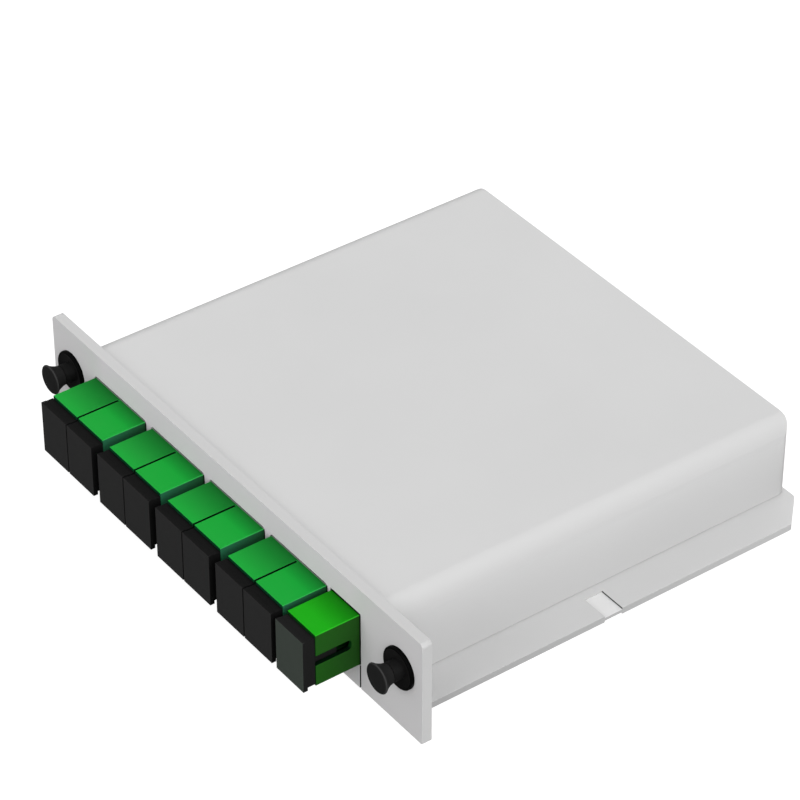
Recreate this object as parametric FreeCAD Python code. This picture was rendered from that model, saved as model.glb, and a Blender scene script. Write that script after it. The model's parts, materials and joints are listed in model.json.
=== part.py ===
import FreeCAD, Part
import math
import os

# A card-type optical splitter cassette, in millimetres, resting on its flat bottom.
# X runs along the faceplate, +Y runs from the faceplate into the case, +Z is up.
# Plan sizes are measured from the left end of the faceplate (x), from its front
# face (y, negative in front of it) and from its bottom edge (z).

V = FreeCAD.Vector

# How far a cutting form overshoots, and how far a rib runs into the wall that carries it
OVER = 1.0
JOIN = 0.2

# Faceplate, the standard 130 x 25 card front
PLATE_W = 130.0
PLATE_H = 25.0
PLATE_T = 2.3
PLATE_TOP_R = 1.0
PLATE_FOOT_R = 0.3

# Case behind the faceplate
CASE_SIDE = 11.75
CASE_D = 99.55
CASE_TOP = 24.35
WALL = 1.6
TOP_R = 4.5
CORNER_R = 3.0
FLOOR_T = 1.8
SPLIT_Z = 6.05
SHADOW_GAP = 0.2
SHADOW_DEPTH = 0.3
TONGUE_T = 0.8
TONGUE_DROP = 1.25
TONGUE_RISE = 1.95
TONGUE_GAP = 0.1
TONGUE_Y0 = 7.3
RIB_T = 1.2
RIB_DROP = 1.6
RIB_XS = (40.0, 65.0, 90.0)
RIB_Y0 = 20.0

# Behind the faceplate: a rim inside the cover and two snap arms inside the tray
RIM_GAP = 0.15
RIM_T = 1.2
RIM_D = 4.0
RIM_Z0 = 9.0
SNAP_L = 7.5
SNAP_T = 1.2
SNAP_THINNING = 0.2
SNAP_BARB = 0.75
SNAP_RAMP = 1.5
SNAP_CATCH = 2.0
SNAP_Z0 = 2.2
SNAP_Z1 = 4.5
SNAP_PLAY = 0.2
SNAP_ROOM = 0.1

# Slide wings at the two sides of the tray
WING_OUT = 8.5
WING_T = 1.5
WING_CHAMFER = 6.5
WING_R = 1.2
NOTCH_Y0 = 47.05
NOTCH_L = 4.45
NOTCH_INSET = 2.0
NOTCH_DEPTH = 0.4

# Adapters: four twin bodies and one single body
PORT_PITCH = 9.65
TWIN_W = 18.76
TWIN_X0 = 16.27
TWIN_PITCH = 21.29
TWIN_COUNT = 4
SINGLE_W = 9.29
SINGLE_X0 = 100.47
BODY_Z0 = 5.9
BODY_H = 12.7
BODY_FRONT = -10.3
BODY_BACK = 17.0
BODY_R = 0.2
FLANGE_GROW = 0.7
FLANGE_T = 2.0
SEPTUM_T = 2.0
PORT_W = 7.5
PORT_H = 9.2
PORT_R = 0.4
GROOVE_W = 0.5
GROOVE_DEPTH = 1.1
GROOVE_END = -0.35
KEY_H = 2.4
KEY_END = -1.9
KEY_R = 0.9
KEY_REACH = 1.1
TAB_GAP = 0.3
SEAT_RIB_L = 6.0
SEAT_RIB_TOP = 15.0
SEAT_RIB_GAP = 0.15
SEAT_RIB_END = 1.0
SLOT_GAP = 0.4
SLOT_R = 0.9
RELIEF_L = 3.0
AXIS_Z = BODY_Z0 + BODY_H / 2
MID_Y = PLATE_T + FLANGE_T / 2

# Sleeve holders
HOLDER_R = 2.45
HOLDER_FIT = 0.05
HOLDER_HALF = 7.0
HOLDER_LIP = 0.8
HOLDER_PLATE_W = 6.0
HOLDER_PLATE_H = 6.8
HOLDER_PLATE_T = 0.8
HOLDER_PLATE_GAP = 0.05
HOLDER_PLATE_R = 0.6
SLEEVE_BORE_R = 1.28
SLEEVE_R = 1.6
SLEEVE_POCKET_R = 1.7
SLEEVE_HALF = 5.7
SLEEVE_SLIT = 0.4
HOOK_W = 3.0
HOOK_LOW = 2.6
HOOK_HIGH = 3.3
HOOK_BARB = 2.3
HOOK_REACH = 9.5
HOOK_TAPER = 0.1
HOOK_RAMP = 0.9
HOOK_CATCH = 1.1

# Dust caps
CAP_FRONT = -13.2
CAP_GAP = 0.1
CAP_SEAT = BODY_FRONT - CAP_GAP
CAP_Z0 = 6.35
CAP_Z1 = 17.9
CAP_LIP_T = 1.05
CAP_LIP_DROP = 0.8
CAP_LIP_RISE = 0.15
CAP_W_TWIN = 9.3
CAP_W_SINGLE = 9.05
CAP_R = 0.3
CAP_FOOT_R = 0.15
PLUG_W = 6.9
PLUG_H = 8.6
PLUG_L = 5.8
PLUG_WALL = 0.8

# Push-pull latches at the two ends of the faceplate
LATCH_END = 7.0
LATCH_Z = 14.75
LATCH_HOLE_R = 3.1
LATCH_FLANGE_R = 4.6
LATCH_FLANGE_T = 0.85
LATCH_RIM_W = 0.45
LATCH_EDGE = 0.2
LATCH_DISH_Y = -0.3
LATCH_DISH_R = 3.4
LATCH_DISH_MID_Y = -0.455
LATCH_HUB_R = 2.15
LATCH_HUB_FRONT = -2.75
LATCH_BORE_R = 1.65
LATCH_BARREL_R = 3.0
LATCH_SNAP_R = 3.3
LATCH_SNAP_Y0 = 2.35
LATCH_SNAP_RISE = 0.05
LATCH_SNAP_Y1 = 3.0
LATCH_POCKET_R = 2.4
LATCH_POCKET_Y0 = 0.3
LATCH_POCKET_Y1 = 4.1
LATCH_MOUTH_R = 1.9
LATCH_TAPER_Y = 4.3
LATCH_TIP_R = 2.65
LATCH_BACK = 4.9
LATCH_SLIT = 0.7
LATCH_SLIT_Y0 = 1.1
KNOB_R = 3.3
KNOB_FRONT = -5.65
KNOB_RIM_T = 0.6
KNOB_EDGE = 0.25
KNOB_BACK = -2.85
FLARE_R = 2.48
FLARE_Y = -4.0
SHANK_R = 1.55
SHANK_TIP = 5.4
SHANK_NOSE = 0.4
BEAD_R = 2.15
BEAD_Y0 = 3.4
BEAD_Y1 = 3.95
BEAD_RAMP = 0.1

# Plugs that face the rear of each adapter
FERRULE_R = 1.25
FERRULE_TIP = 3.4
FERRULE_END = 16.0
FERRULE_NOSE_R = 1.0
FERRULE_NOSE_L = 0.5
REAR_PLUG_W = 7.2
REAR_PLUG_H = 8.8
REAR_PLUG_Y0 = 9.0
REAR_PLUG_Y1 = 30.0
REAR_PLUG_R = 0.5
REAR_PLUG_PLAY = 0.15
REAR_STOP_W = 8.6
REAR_STOP_H = 11.0
REAR_STOP_R = 0.6
REAR_STOP_Y0 = 17.4
REAR_STOP_Y1 = 26.0
BOOT_COLLAR_L = 3.0
BOOT_Y1 = 47.0
BOOT_R0 = 2.5
BOOT_R1 = 1.0

# Splitter chip case and its boots
CHIP_X0 = 56.0
CHIP_L = 40.0
CHIP_SIDE = 4.0
CHIP_Y = 94.0
CHIP_R = 0.3
CHIP_BOOT_L = 5.0
CHIP_BOOT_INSET = 0.15
FAN_HALF_W = 2.55
FAN_HALF_H = 1.2
INPUT_BOOT_HALF = 0.8
CRADLE_L = 4.0
CHEEK_T = 1.1
CHEEK_GAP = 0.1
CHEEK_RISE = 0.8

# Leads inside the case
LEAD_R = 0.45
LEAD_PLAY = 0.15
LEAD_BEND = 15.0
LEAD_PITCH = 0.95
LOWER_Z = AXIS_Z
UPPER_Z = LOWER_Z + 1.2
CHIP_Z = (LOWER_Z + UPPER_Z) / 2
NEAR_PORTS = 3
FAR_PORTS = 5
FAR_SIDE = 15.2
FAR_CROSS = 61.6
FAR_STEP = 1.1
DROP_Y0 = 57.0
DROP_Y1 = 50.2
DROP_R = 36.0
SWERVE_Y0 = 71.5
SWERVE_Y1 = 65.0
INPUT_SIDE = 115.2
INPUT_SWERVE = (73.5, 61.0)
INPUT_DROP_Y = 51.2
COMB_T = 1.2
COMB_XS = (32.6, 58.0)
COMB_RISE = 0.25
COMB_GAP = 0.05
FENCE_RISE = 0.1
FENCE_X = 32.6
FENCE_Y = 79.0
FENCE_R = 12.3

# Screws that hold the tray to the cover
SCREW_X = 16.6
SCREW_YS = (54.0, 97.0)
SCREW_R = 1.1
SCREW_PLAY = 0.2
SCREW_HEAD_R = 2.1
SCREW_HEAD_Z0 = 0.15
SCREW_HEAD_T = 1.2
SCREW_CROSS_L = 1.2
SCREW_CROSS_W = 0.2
SCREW_CROSS_TOP = 0.65
SCREW_FIT = 0.02
SCREW_TIP_Z = 10.3
SCREW_L = 9.0
BOSS_R = 2.8

# The frame's origin is the middle of the whole object's footprint, on the floor
DEPTH = CASE_D + PLATE_T - CAP_FRONT
Y_SHIFT = -DEPTH / 2 - CAP_FRONT
CASE_BACK = PLATE_T + CASE_D
CASE_X1 = PLATE_W - CASE_SIDE
SILL_TOP = BODY_Z0 - FLANGE_GROW - JOIN


def at(x, y, z):
    """A plan place as a point of the object's frame."""
    return V(x - PLATE_W / 2, y + Y_SHIFT, z)


def in_front(y):
    """Lifts (x, z) to a point of the upright plane at plan depth y."""
    return lambda u, v: at(u, y, v)


def flat_on(z):
    """Lifts (x, y) to a point of the level plane at height z."""
    return lambda u, v: at(u, v, z)


def rounded_edges(points, radii, closed):
    """Straight runs through the points, joined by tangent arcs of the given radii."""
    count = len(points)
    corners = range(count) if closed else range(1, count - 1)
    ends = {}
    for i in corners:
        corner = points[i]
        back = (points[i - 1] - corner).normalize()
        ahead = (points[(i + 1) % count] - corner).normalize()
        if radii[i] <= 0:
            ends[i] = (corner, None, corner)
            continue
        half = math.acos(max(-1.0, min(1.0, back.dot(ahead)))) / 2
        reach = radii[i] / math.tan(half)
        middle = (back + ahead).normalize()
        bow = corner + middle * (radii[i] / math.sin(half) - radii[i])
        ends[i] = (corner + back * reach, bow, corner + ahead * reach)
    edges = []
    spans = range(count) if closed else range(count - 1)
    for i in spans:
        j = (i + 1) % count
        start = ends[i][2] if i in ends else points[i]
        stop = ends[j][0] if j in ends else points[j]
        if (stop - start).Length > 1e-6:
            edges.append(Part.LineSegment(start, stop).toShape())
        if j in ends and ends[j][1] is not None:
            edges.append(Part.Arc(*ends[j]).toShape())
    return edges


def prism(corners, radii, lift, reach):
    """A flat outline with rounded corners, pushed out by the vector reach."""
    if not isinstance(radii, (list, tuple)):
        radii = [radii] * len(corners)
    wire = Part.Wire(rounded_edges([lift(u, v) for u, v in corners], radii, True))
    return Part.Face(wire).extrude(reach)


def upright(x0, x1, z0, z1, y0, y1, radii=0.0):
    """A bar along Y; radii run bottom left, bottom right, top right, top left."""
    corners = [(x0, z0), (x1, z0), (x1, z1), (x0, z1)]
    return prism(corners, radii, in_front(y0), V(0, y1 - y0, 0))


def block(x0, x1, y0, y1, z0, z1):
    """A plain square-cornered block between two plan corners."""
    return Part.makeBox(x1 - x0, y1 - y0, z1 - z0, at(x0, y0, z0))


def turned(x, z, steps):
    """A solid of revolution about a line along Y; a step of three is an arc's middle and end."""
    edges = []
    place = at(x + steps[0][0], steps[0][1], z)
    for step in steps[1:]:
        end = at(x + step[-2], step[-1], z)
        if len(step) == 4:
            edges.append(Part.Arc(place, at(x + step[0], step[1], z), end).toShape())
        else:
            edges.append(Part.LineSegment(place, end).toShape())
        place = end
    edges.append(Part.LineSegment(place, at(x + steps[0][0], steps[0][1], z)).toShape())
    return Part.Face(Part.Wire(edges)).revolve(at(x, 0, z), V(0, 1, 0), 360)


def ring(x, z, inner, outer, y0, y1):
    """A plain tube along Y."""
    return turned(x, z, [(inner, y0), (outer, y0), (outer, y1), (inner, y1)])


def rod(x, z, radius, y0, y1):
    """A plain rod along Y."""
    return Part.makeCylinder(radius, y1 - y0, at(x, y0, z), V(0, 1, 0))


def post(x, y, radius, z0, z1):
    """A plain upright rod."""
    return Part.makeCylinder(radius, z1 - z0, at(x, y, z0), V(0, 0, 1))


def fused(shapes):
    """One solid of several that touch."""
    return shapes[0].multiFuse(shapes[1:]).removeSplitter()


def mirrored(shape):
    """The same form at the other side of the faceplate's middle."""
    return shape.mirror(V(0, 0, 0), V(1, 0, 0))


def both_sides(shapes):
    """A list of forms and their mirror images."""
    return shapes + [mirrored(shape) for shape in shapes]


def adapter_bodies():
    """Name, left edge and width of every adapter body, from left to right."""
    bodies = []
    for i in range(TWIN_COUNT):
        bodies.append(("adapter_twin_%d" % (i + 1), TWIN_X0 + i * TWIN_PITCH, TWIN_W))
    bodies.append(("adapter_single", SINGLE_X0, SINGLE_W))
    return bodies


def port_centres(x0, width):
    """The middle of each port of one adapter body."""
    middle = x0 + width / 2
    if width < TWIN_W:
        return [middle]
    return [middle - PORT_PITCH / 2, middle + PORT_PITCH / 2]


def all_ports():
    """The middle of all nine ports, from left to right."""
    ports = []
    for _, x0, width in adapter_bodies():
        ports += port_centres(x0, width)
    return ports


def faceplate():
    """The card front: open slots for the adapters, two latch holes and a locating rim behind."""
    radii = [PLATE_FOOT_R, PLATE_FOOT_R, PLATE_TOP_R, PLATE_TOP_R]
    plate = upright(0, PLATE_W, 0, PLATE_H, 0, PLATE_T, radii)
    cuts = []
    for _, x0, width in adapter_bodies():
        slot_r = SLOT_R if width == TWIN_W else PLATE_FOOT_R
        top = BODY_Z0 + BODY_H + SLOT_GAP
        cuts.append(upright(x0 - SLOT_GAP, x0 + width + SLOT_GAP, -OVER, top, -OVER, PLATE_T + OVER,
                            [0, 0, slot_r, slot_r]))
    for x in (LATCH_END, PLATE_W - LATCH_END):
        cuts.append(rod(x, LATCH_Z, LATCH_HOLE_R, -OVER, PLATE_T + OVER))
    rim = arch(WALL + RIM_GAP, PLATE_T, PLATE_T + RIM_D, RIM_Z0)
    rim = rim.cut(arch(WALL + RIM_GAP + RIM_T, PLATE_T - OVER, PLATE_T + RIM_D + OVER, RIM_Z0 - OVER))
    arms = both_sides([snap_arm(CASE_SIDE + WALL + RIM_GAP)])
    return fused([plate.cut(Part.makeCompound(cuts)), rim] + arms)


def arch(inset, y0, y1, z0):
    """The case's round-topped section, shrunk by inset, between two plan depths."""
    return upright(CASE_SIDE + inset, CASE_X1 - inset, z0, CASE_TOP - inset, y0, y1,
                   [0, 0, TOP_R - inset, TOP_R - inset])


def case_form(inset, z0, z1, y0, top_r):
    """The case's outer form, shrunk by inset: a rounded section crossed with a rounded plan."""
    x0, x1 = CASE_SIDE + inset, CASE_X1 - inset
    back = CASE_BACK - inset
    section = upright(x0, x1, z0, z1, y0, back, [0, 0, top_r, top_r])
    plan = prism([(x0, y0), (x1, y0), (x1, back), (x0, back)],
                 [0, 0, CORNER_R - inset, CORNER_R - inset], flat_on(z0), V(0, 0, z1 - z0))
    return section.common(plan)


def plan_ring(outset, inset, z0, z1):
    """A low wall that follows the case's plan, open at the front."""
    outer = case_form(outset, z0, z1, TONGUE_Y0, 0)
    return outer.cut(case_form(inset, z0 - OVER, z1 + OVER, PLATE_T, 0))


def cover():
    """The upper shell: rounded long edges, a tongue that drops into the tray, bosses and ribs."""
    shell = case_form(0, SPLIT_Z, CASE_TOP, PLATE_T, TOP_R)
    shell = shell.cut(case_form(WALL, SPLIT_Z - OVER, CASE_TOP - WALL, PLATE_T - OVER, TOP_R - WALL))
    low = plan_ring(WALL + TONGUE_GAP, WALL + TONGUE_GAP + TONGUE_T, SPLIT_Z - TONGUE_DROP, SPLIT_Z)
    high = plan_ring(WALL, WALL + TONGUE_GAP + TONGUE_T, SPLIT_Z, SPLIT_Z + TONGUE_RISE)
    parts = [shell, low, high]
    top = CASE_TOP - WALL
    for x in (SCREW_X, PLATE_W - SCREW_X):
        for y in SCREW_YS:
            parts.append(post(x, y, BOSS_R, FLOOR_T, top))
    for x in RIB_XS:
        parts.append(block(x - RIB_T / 2, x + RIB_T / 2, RIB_Y0, CASE_BACK - WALL, top - RIB_DROP, top))
    body = fused(parts)
    cuts = [post(x, y, SCREW_R, FLOOR_T - OVER, FLOOR_T + SCREW_L)
            for x in (SCREW_X, PLATE_W - SCREW_X) for y in SCREW_YS]
    cuts.append(shadow_line())
    return body.cut(Part.makeCompound(cuts))


def shadow_line():
    """The low rebate round the cover's foot, which shows as a fine dark line above the tray."""
    outer = case_form(-OVER, SPLIT_Z - OVER, SPLIT_Z + SHADOW_GAP, PLATE_T - OVER, 0)
    return outer.cut(case_form(SHADOW_DEPTH, SPLIT_Z - 2 * OVER, SPLIT_Z + OVER, PLATE_T - 2 * OVER, 0))


def wing():
    """The right slide wing: a flat strip with a cut corner and a thinned notch."""
    x0, x1 = CASE_X1 - CORNER_R, CASE_X1 + WING_OUT
    z0 = SPLIT_Z - WING_T
    corners = [(x0, PLATE_T), (x1, PLATE_T), (x1, CASE_BACK - WING_CHAMFER),
               (x1 - WING_CHAMFER, CASE_BACK), (x0, CASE_BACK)]
    strip = prism(corners, [0, 0, WING_R, WING_R, 0], flat_on(z0), V(0, 0, WING_T))
    nx0 = CASE_X1 + NOTCH_INSET
    y0, y1 = NOTCH_Y0, NOTCH_Y0 + NOTCH_L
    above = block(nx0, x1 + OVER, y0, y1, SPLIT_Z - NOTCH_DEPTH, SPLIT_Z + OVER)
    below = block(nx0, x1 + OVER, y0, y1, z0 - OVER, z0 + NOTCH_DEPTH)
    inside = case_form(WALL, 0, CASE_TOP, PLATE_T, 0)
    return strip.cut(Part.makeCompound([above, below, inside]))


def slot_tabs():
    """The tray's upstands that close the faceplate's slots under the adapters."""
    tabs = []
    for _, x0, width in adapter_bodies():
        tabs.append(block(x0, x0 + width, 0, PLATE_T + JOIN, 0, SILL_TOP))
        tabs.append(block(x0, x0 + width, 0, PLATE_T - TAB_GAP, 0, BODY_Z0 - TAB_GAP))
    return tabs


def relief_slots():
    """The narrow slots at both sides of each tab, through the tray's front wall and floor edge."""
    slots = []
    for _, x0, width in adapter_bodies():
        for x in (x0 - SLOT_GAP, x0 + width):
            slots.append(block(x, x + SLOT_GAP, PLATE_T - OVER, PLATE_T + RELIEF_L, -OVER, SPLIT_Z + OVER))
    return slots


def adapter_ribs():
    """Upright ribs that stand behind the adapters' flanges, between the bodies."""
    bodies = adapter_bodies()
    y0 = PLATE_T + FLANGE_T + SEAT_RIB_GAP
    lefts = [x0 - SLOT_GAP for _, x0, _ in bodies]
    rights = [x0 + width + SLOT_GAP for _, x0, width in bodies]
    spans = list(zip(rights, lefts[1:]))
    spans += [(lefts[0] - SEAT_RIB_END, lefts[0]), (rights[-1], rights[-1] + SEAT_RIB_END)]
    return [block(x0, x1, y0, y0 + SEAT_RIB_L, FLOOR_T - JOIN, SEAT_RIB_TOP) for x0, x1 in spans]


def chip_cradle():
    """Two raised seats with side cheeks that hold the splitter case at the leads' height."""
    parts = []
    low = CHIP_Z - CHIP_SIDE / 2
    inner = CHIP_SIDE / 2 + CHEEK_GAP
    for x in (CHIP_X0 + CRADLE_L, CHIP_X0 + CHIP_L - 2 * CRADLE_L):
        seat = block(x, x + CRADLE_L, CHIP_Y - inner - CHEEK_T, CHIP_Y + inner + CHEEK_T,
                     FLOOR_T - JOIN, CHIP_Z + CHEEK_RISE)
        room = block(x - OVER, x + CRADLE_L + OVER, CHIP_Y - inner, CHIP_Y + inner,
                     low, CHIP_Z + CHIP_SIDE)
        parts.append(seat.cut(room))
    return parts


def lead_fence():
    """A curved fence inside the leads' turn at the left, so that none is bent too tightly."""
    top = LOWER_Z + LEAD_R + FENCE_RISE
    tube = post(FENCE_X, FENCE_Y, FENCE_R, FLOOR_T - JOIN, top)
    tube = tube.cut(post(FENCE_X, FENCE_Y, FENCE_R - COMB_T, 0, top + OVER))
    reach = FENCE_R + OVER
    return tube.common(block(FENCE_X - reach, FENCE_X, FENCE_Y - reach, FENCE_Y + reach, 0, top))


def comb(x, y0, y1):
    """A low wall under a row of leads, with a post at each end to keep them in."""
    wall = block(x, x + COMB_T, y0 - COMB_T, y1 + COMB_T, FLOOR_T - JOIN, LOWER_Z + LEAD_R + COMB_RISE)
    return wall.cut(block(x - OVER, x + COMB_T + OVER, y0, y1, LOWER_Z - LEAD_R - COMB_GAP, UPPER_Z))


def lead_guides():
    """The fence and the combs that carry the leads at the height of the adapters' middle."""
    room = LEAD_R + LEAD_PLAY
    front = FAR_CROSS - room
    back = FAR_CROSS + (FAR_PORTS - 1) * FAR_STEP + room
    near_x, far_x = COMB_XS
    return [lead_fence(), comb(near_x, front, back), comb(far_x, front + 2 * FAR_STEP, back)]


def snap_arm(x):
    """A springy arm behind the faceplate, with a barb that clicks into the tray's left wall."""
    y1 = PLATE_T + SNAP_L
    y0 = PLATE_T - JOIN
    corners = [(x, y0), (x + SNAP_T, y0), (x + SNAP_T - SNAP_THINNING, y1), (x, y1),
               (x - SNAP_BARB, y1 - SNAP_RAMP), (x - SNAP_BARB, y1 - SNAP_CATCH), (x, y1 - SNAP_CATCH)]
    return prism(corners, 0.0, flat_on(SNAP_Z0), V(0, 0, SNAP_Z1 - SNAP_Z0))


def snap_cuts():
    """The room for the left snap arm: a notch in the tray's sill and a blind window in its wall."""
    x = CASE_SIDE + WALL
    low, high = SNAP_Z0 - SNAP_PLAY, SNAP_Z1 + SNAP_PLAY
    y1 = PLATE_T + SNAP_L
    notch = block(x, x + RIM_GAP + SNAP_T + SNAP_PLAY, PLATE_T - OVER, PLATE_T + WALL + SNAP_ROOM,
                  low, SPLIT_Z)
    window = block(x - SNAP_BARB - SNAP_ROOM, x + SNAP_ROOM, y1 - SNAP_CATCH - SNAP_PLAY,
                   y1 + SNAP_PLAY, low, high)
    return [notch, window]


def base_tray():
    """The lower shell: floor, low walls, slide wings, slot tabs, adapter ribs and lead guides."""
    tray = case_form(0, 0, SPLIT_Z, PLATE_T, 0)
    tray = tray.cut(case_form(WALL, FLOOR_T, SPLIT_Z + OVER, PLATE_T + WALL, 0))
    sill_cut = block(CASE_SIDE + WALL, CASE_X1 - WALL, PLATE_T - OVER, PLATE_T + WALL + OVER,
                     SILL_TOP, SPLIT_Z + OVER)
    tray = tray.cut(sill_cut)
    parts = [tray] + both_sides([wing()]) + slot_tabs() + adapter_ribs() + chip_cradle() + lead_guides()
    body = fused(parts)
    holes = both_sides(snap_cuts()) + relief_slots()
    for x in (SCREW_X, PLATE_W - SCREW_X):
        for y in SCREW_YS:
            holes.append(post(x, y, SCREW_R + SCREW_PLAY, -OVER, FLOOR_T + OVER))
            holes.append(post(x, y, SCREW_HEAD_R + SCREW_PLAY, -OVER, SCREW_HEAD_T))
    return body.cut(Part.makeCompound(holes))


def port_cut(x, y0, y1):
    """The mouth of one port, between two plan depths."""
    return upright(x - PORT_W / 2, x + PORT_W / 2, AXIS_Z - PORT_H / 2, AXIS_Z + PORT_H / 2,
                   y0, y1, PORT_R)


def keyway(x, y0, y1, end_r):
    """The key slot beside one port, level, rounded at its inner end."""
    z0, z1 = AXIS_Z - KEY_H / 2, AXIS_Z + KEY_H / 2
    corners = [(y0, z0), (y1, z0), (y1, z1), (y0, z1)]
    reach = V(PORT_W / 2 + KEY_REACH, 0, 0)
    return prism(corners, [0, end_r, end_r, 0], lambda u, v: at(x, u, v), reach)


def adapter(x0, width):
    """One moulded adapter body with a port at each end, a flange and key slots."""
    z0, z1 = BODY_Z0, BODY_Z0 + BODY_H
    body = upright(x0, x0 + width, z0, z1, BODY_FRONT, BODY_BACK, BODY_R)
    flange = upright(x0 - FLANGE_GROW, x0 + width + FLANGE_GROW, z0 - FLANGE_GROW, z1 + FLANGE_GROW,
                     PLATE_T, PLATE_T + FLANGE_T, BODY_R)
    cuts = []
    for x in port_centres(x0, width):
        cuts.append(port_cut(x, BODY_FRONT - OVER, MID_Y - SEPTUM_T / 2))
        cuts.append(port_cut(x, MID_Y + SEPTUM_T / 2, BODY_BACK + OVER))
        cuts.append(rod(x, AXIS_Z, HOLDER_R + HOLDER_FIT, BODY_FRONT, BODY_BACK))
        cuts.append(keyway(x, BODY_FRONT - OVER, KEY_END, KEY_R))
        cuts.append(keyway(x, BODY_BACK + OVER, 2 * MID_Y - KEY_END, KEY_R))
    if width == TWIN_W:
        gx0 = x0 + (width - GROOVE_W) / 2
        for low in (z0 - OVER, z1 - GROOVE_DEPTH):
            high = low + OVER + GROOVE_DEPTH
            cuts.append(block(gx0, gx0 + GROOVE_W, BODY_FRONT - OVER, GROOVE_END, low, high))
            cuts.append(block(gx0, gx0 + GROOVE_W, PLATE_T + FLANGE_T, BODY_BACK + OVER, low, high))
    return body.fuse(flange).removeSplitter().cut(Part.makeCompound(cuts))


def hook(x, end, side):
    """One latching arm of a sleeve holder; end is -1 in front, side is -1 below."""
    root = HOLDER_PLATE_GAP + SEPTUM_T / 2
    profile = [(root, HOOK_LOW), (root, HOOK_HIGH), (HOOK_REACH, HOOK_HIGH - HOOK_TAPER),
               (HOOK_REACH, HOOK_LOW + HOOK_TAPER), (HOOK_REACH - HOOK_RAMP, HOOK_BARB),
               (HOOK_REACH - HOOK_CATCH, HOOK_LOW)]
    corners = [(MID_Y + end * y, AXIS_Z + side * z) for y, z in profile]
    return prism(corners, 0.0, lambda u, v: at(x - HOOK_W / 2, u, v), V(HOOK_W, 0, 0))


def sleeve_holder(x):
    """A holder for a split sleeve, with a plate and two latching arms on each side of the septum."""
    y0, y1 = MID_Y - HOLDER_HALF, MID_Y + HOLDER_HALF
    parts = [ring(x, AXIS_Z, SLEEVE_POCKET_R, HOLDER_R, y0, y1),
             ring(x, AXIS_Z, SLEEVE_BORE_R, SLEEVE_POCKET_R, y0, y0 + HOLDER_LIP),
             ring(x, AXIS_Z, SLEEVE_BORE_R, SLEEVE_POCKET_R, y1 - HOLDER_LIP, y1)]
    bore = rod(x, AXIS_Z, HOLDER_R - JOIN, y0, y1)
    half_w, half_h = HOLDER_PLATE_W / 2, HOLDER_PLATE_H / 2
    for end in (-1, 1):
        near = MID_Y + end * (SEPTUM_T / 2 + HOLDER_PLATE_GAP)
        far = near + end * HOLDER_PLATE_T
        plate = upright(x - half_w, x + half_w, AXIS_Z - half_h, AXIS_Z + half_h,
                        near, far, HOLDER_PLATE_R)
        parts.append(plate.cut(bore))
        parts += [hook(x, end, side) for side in (-1, 1)]
    return fused(parts)


def ceramic_sleeves():
    """The split sleeves that align the ferrules, one in each holder."""
    sleeves = []
    for x in all_ports():
        y0, y1 = MID_Y - SLEEVE_HALF, MID_Y + SLEEVE_HALF
        tube = ring(x, AXIS_Z, SLEEVE_BORE_R, SLEEVE_R, y0, y1)
        slit = block(x - SLEEVE_SLIT / 2, x + SLEEVE_SLIT / 2, y0 - OVER, y1 + OVER,
                     AXIS_Z, AXIS_Z + SLEEVE_R + OVER)
        sleeves.append(tube.cut(slit))
    return Part.makeCompound(sleeves)


def dust_cap(x, width):
    """A moulded plug cover: square head, a lipped face for the finger and a hollow plug."""
    x0, x1 = x - width / 2, x + width / 2
    lip_y = CAP_FRONT + CAP_LIP_T
    head = upright(x0, x1, CAP_Z0, CAP_Z1, lip_y, CAP_SEAT, [CAP_FOOT_R, CAP_FOOT_R, CAP_R, CAP_R])
    face = upright(x0, x1, CAP_Z0 - CAP_LIP_DROP, CAP_Z1 + CAP_LIP_RISE, CAP_FRONT, lip_y,
                   [CAP_FOOT_R, CAP_FOOT_R, CAP_R, CAP_R])
    px0, px1 = x - PLUG_W / 2, x + PLUG_W / 2
    pz0, pz1 = AXIS_Z - PLUG_H / 2, AXIS_Z + PLUG_H / 2
    plug = upright(px0, px1, pz0, pz1, CAP_SEAT - JOIN, CAP_SEAT + PLUG_L, PORT_R)
    hollow = upright(px0 + PLUG_WALL, px1 - PLUG_WALL, pz0 + PLUG_WALL, pz1 - PLUG_WALL,
                     lip_y, CAP_SEAT + PLUG_L + OVER, PORT_R)
    return fused([head, face, plug]).cut(hollow)


def latch_grommet(x):
    """The latch's collar: a dished flange with a hub in front, and a split barrel with a pocket inside."""
    front = -LATCH_FLANGE_T
    steps = [(LATCH_BORE_R, LATCH_HUB_FRONT), (LATCH_HUB_R, LATCH_HUB_FRONT), (LATCH_HUB_R, LATCH_DISH_Y),
             (LATCH_DISH_R, LATCH_DISH_MID_Y, LATCH_FLANGE_R - LATCH_RIM_W, front),
             (LATCH_FLANGE_R - LATCH_EDGE, front), (LATCH_FLANGE_R, front + LATCH_EDGE),
             (LATCH_FLANGE_R, 0), (LATCH_BARREL_R, 0), (LATCH_BARREL_R, LATCH_SNAP_Y0),
             (LATCH_SNAP_R, LATCH_SNAP_Y0 + LATCH_SNAP_RISE), (LATCH_BARREL_R, LATCH_SNAP_Y1),
             (LATCH_BARREL_R, LATCH_TAPER_Y), (LATCH_TIP_R, LATCH_BACK), (LATCH_MOUTH_R, LATCH_BACK),
             (LATCH_MOUTH_R, LATCH_POCKET_Y1), (LATCH_POCKET_R, LATCH_POCKET_Y1),
             (LATCH_POCKET_R, LATCH_POCKET_Y0), (LATCH_BORE_R, LATCH_POCKET_Y0)]
    body = turned(x, LATCH_Z, steps)
    y0, y1 = LATCH_SLIT_Y0, LATCH_BACK + OVER
    reach = LATCH_SNAP_R + OVER
    half = LATCH_SLIT / 2
    level = block(x - reach, x + reach, y0, y1, LATCH_Z - half, LATCH_Z + half)
    upstanding = block(x - half, x + half, y0, y1, LATCH_Z - reach, LATCH_Z + reach)
    return body.cut(level.fuse(upstanding))


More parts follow.
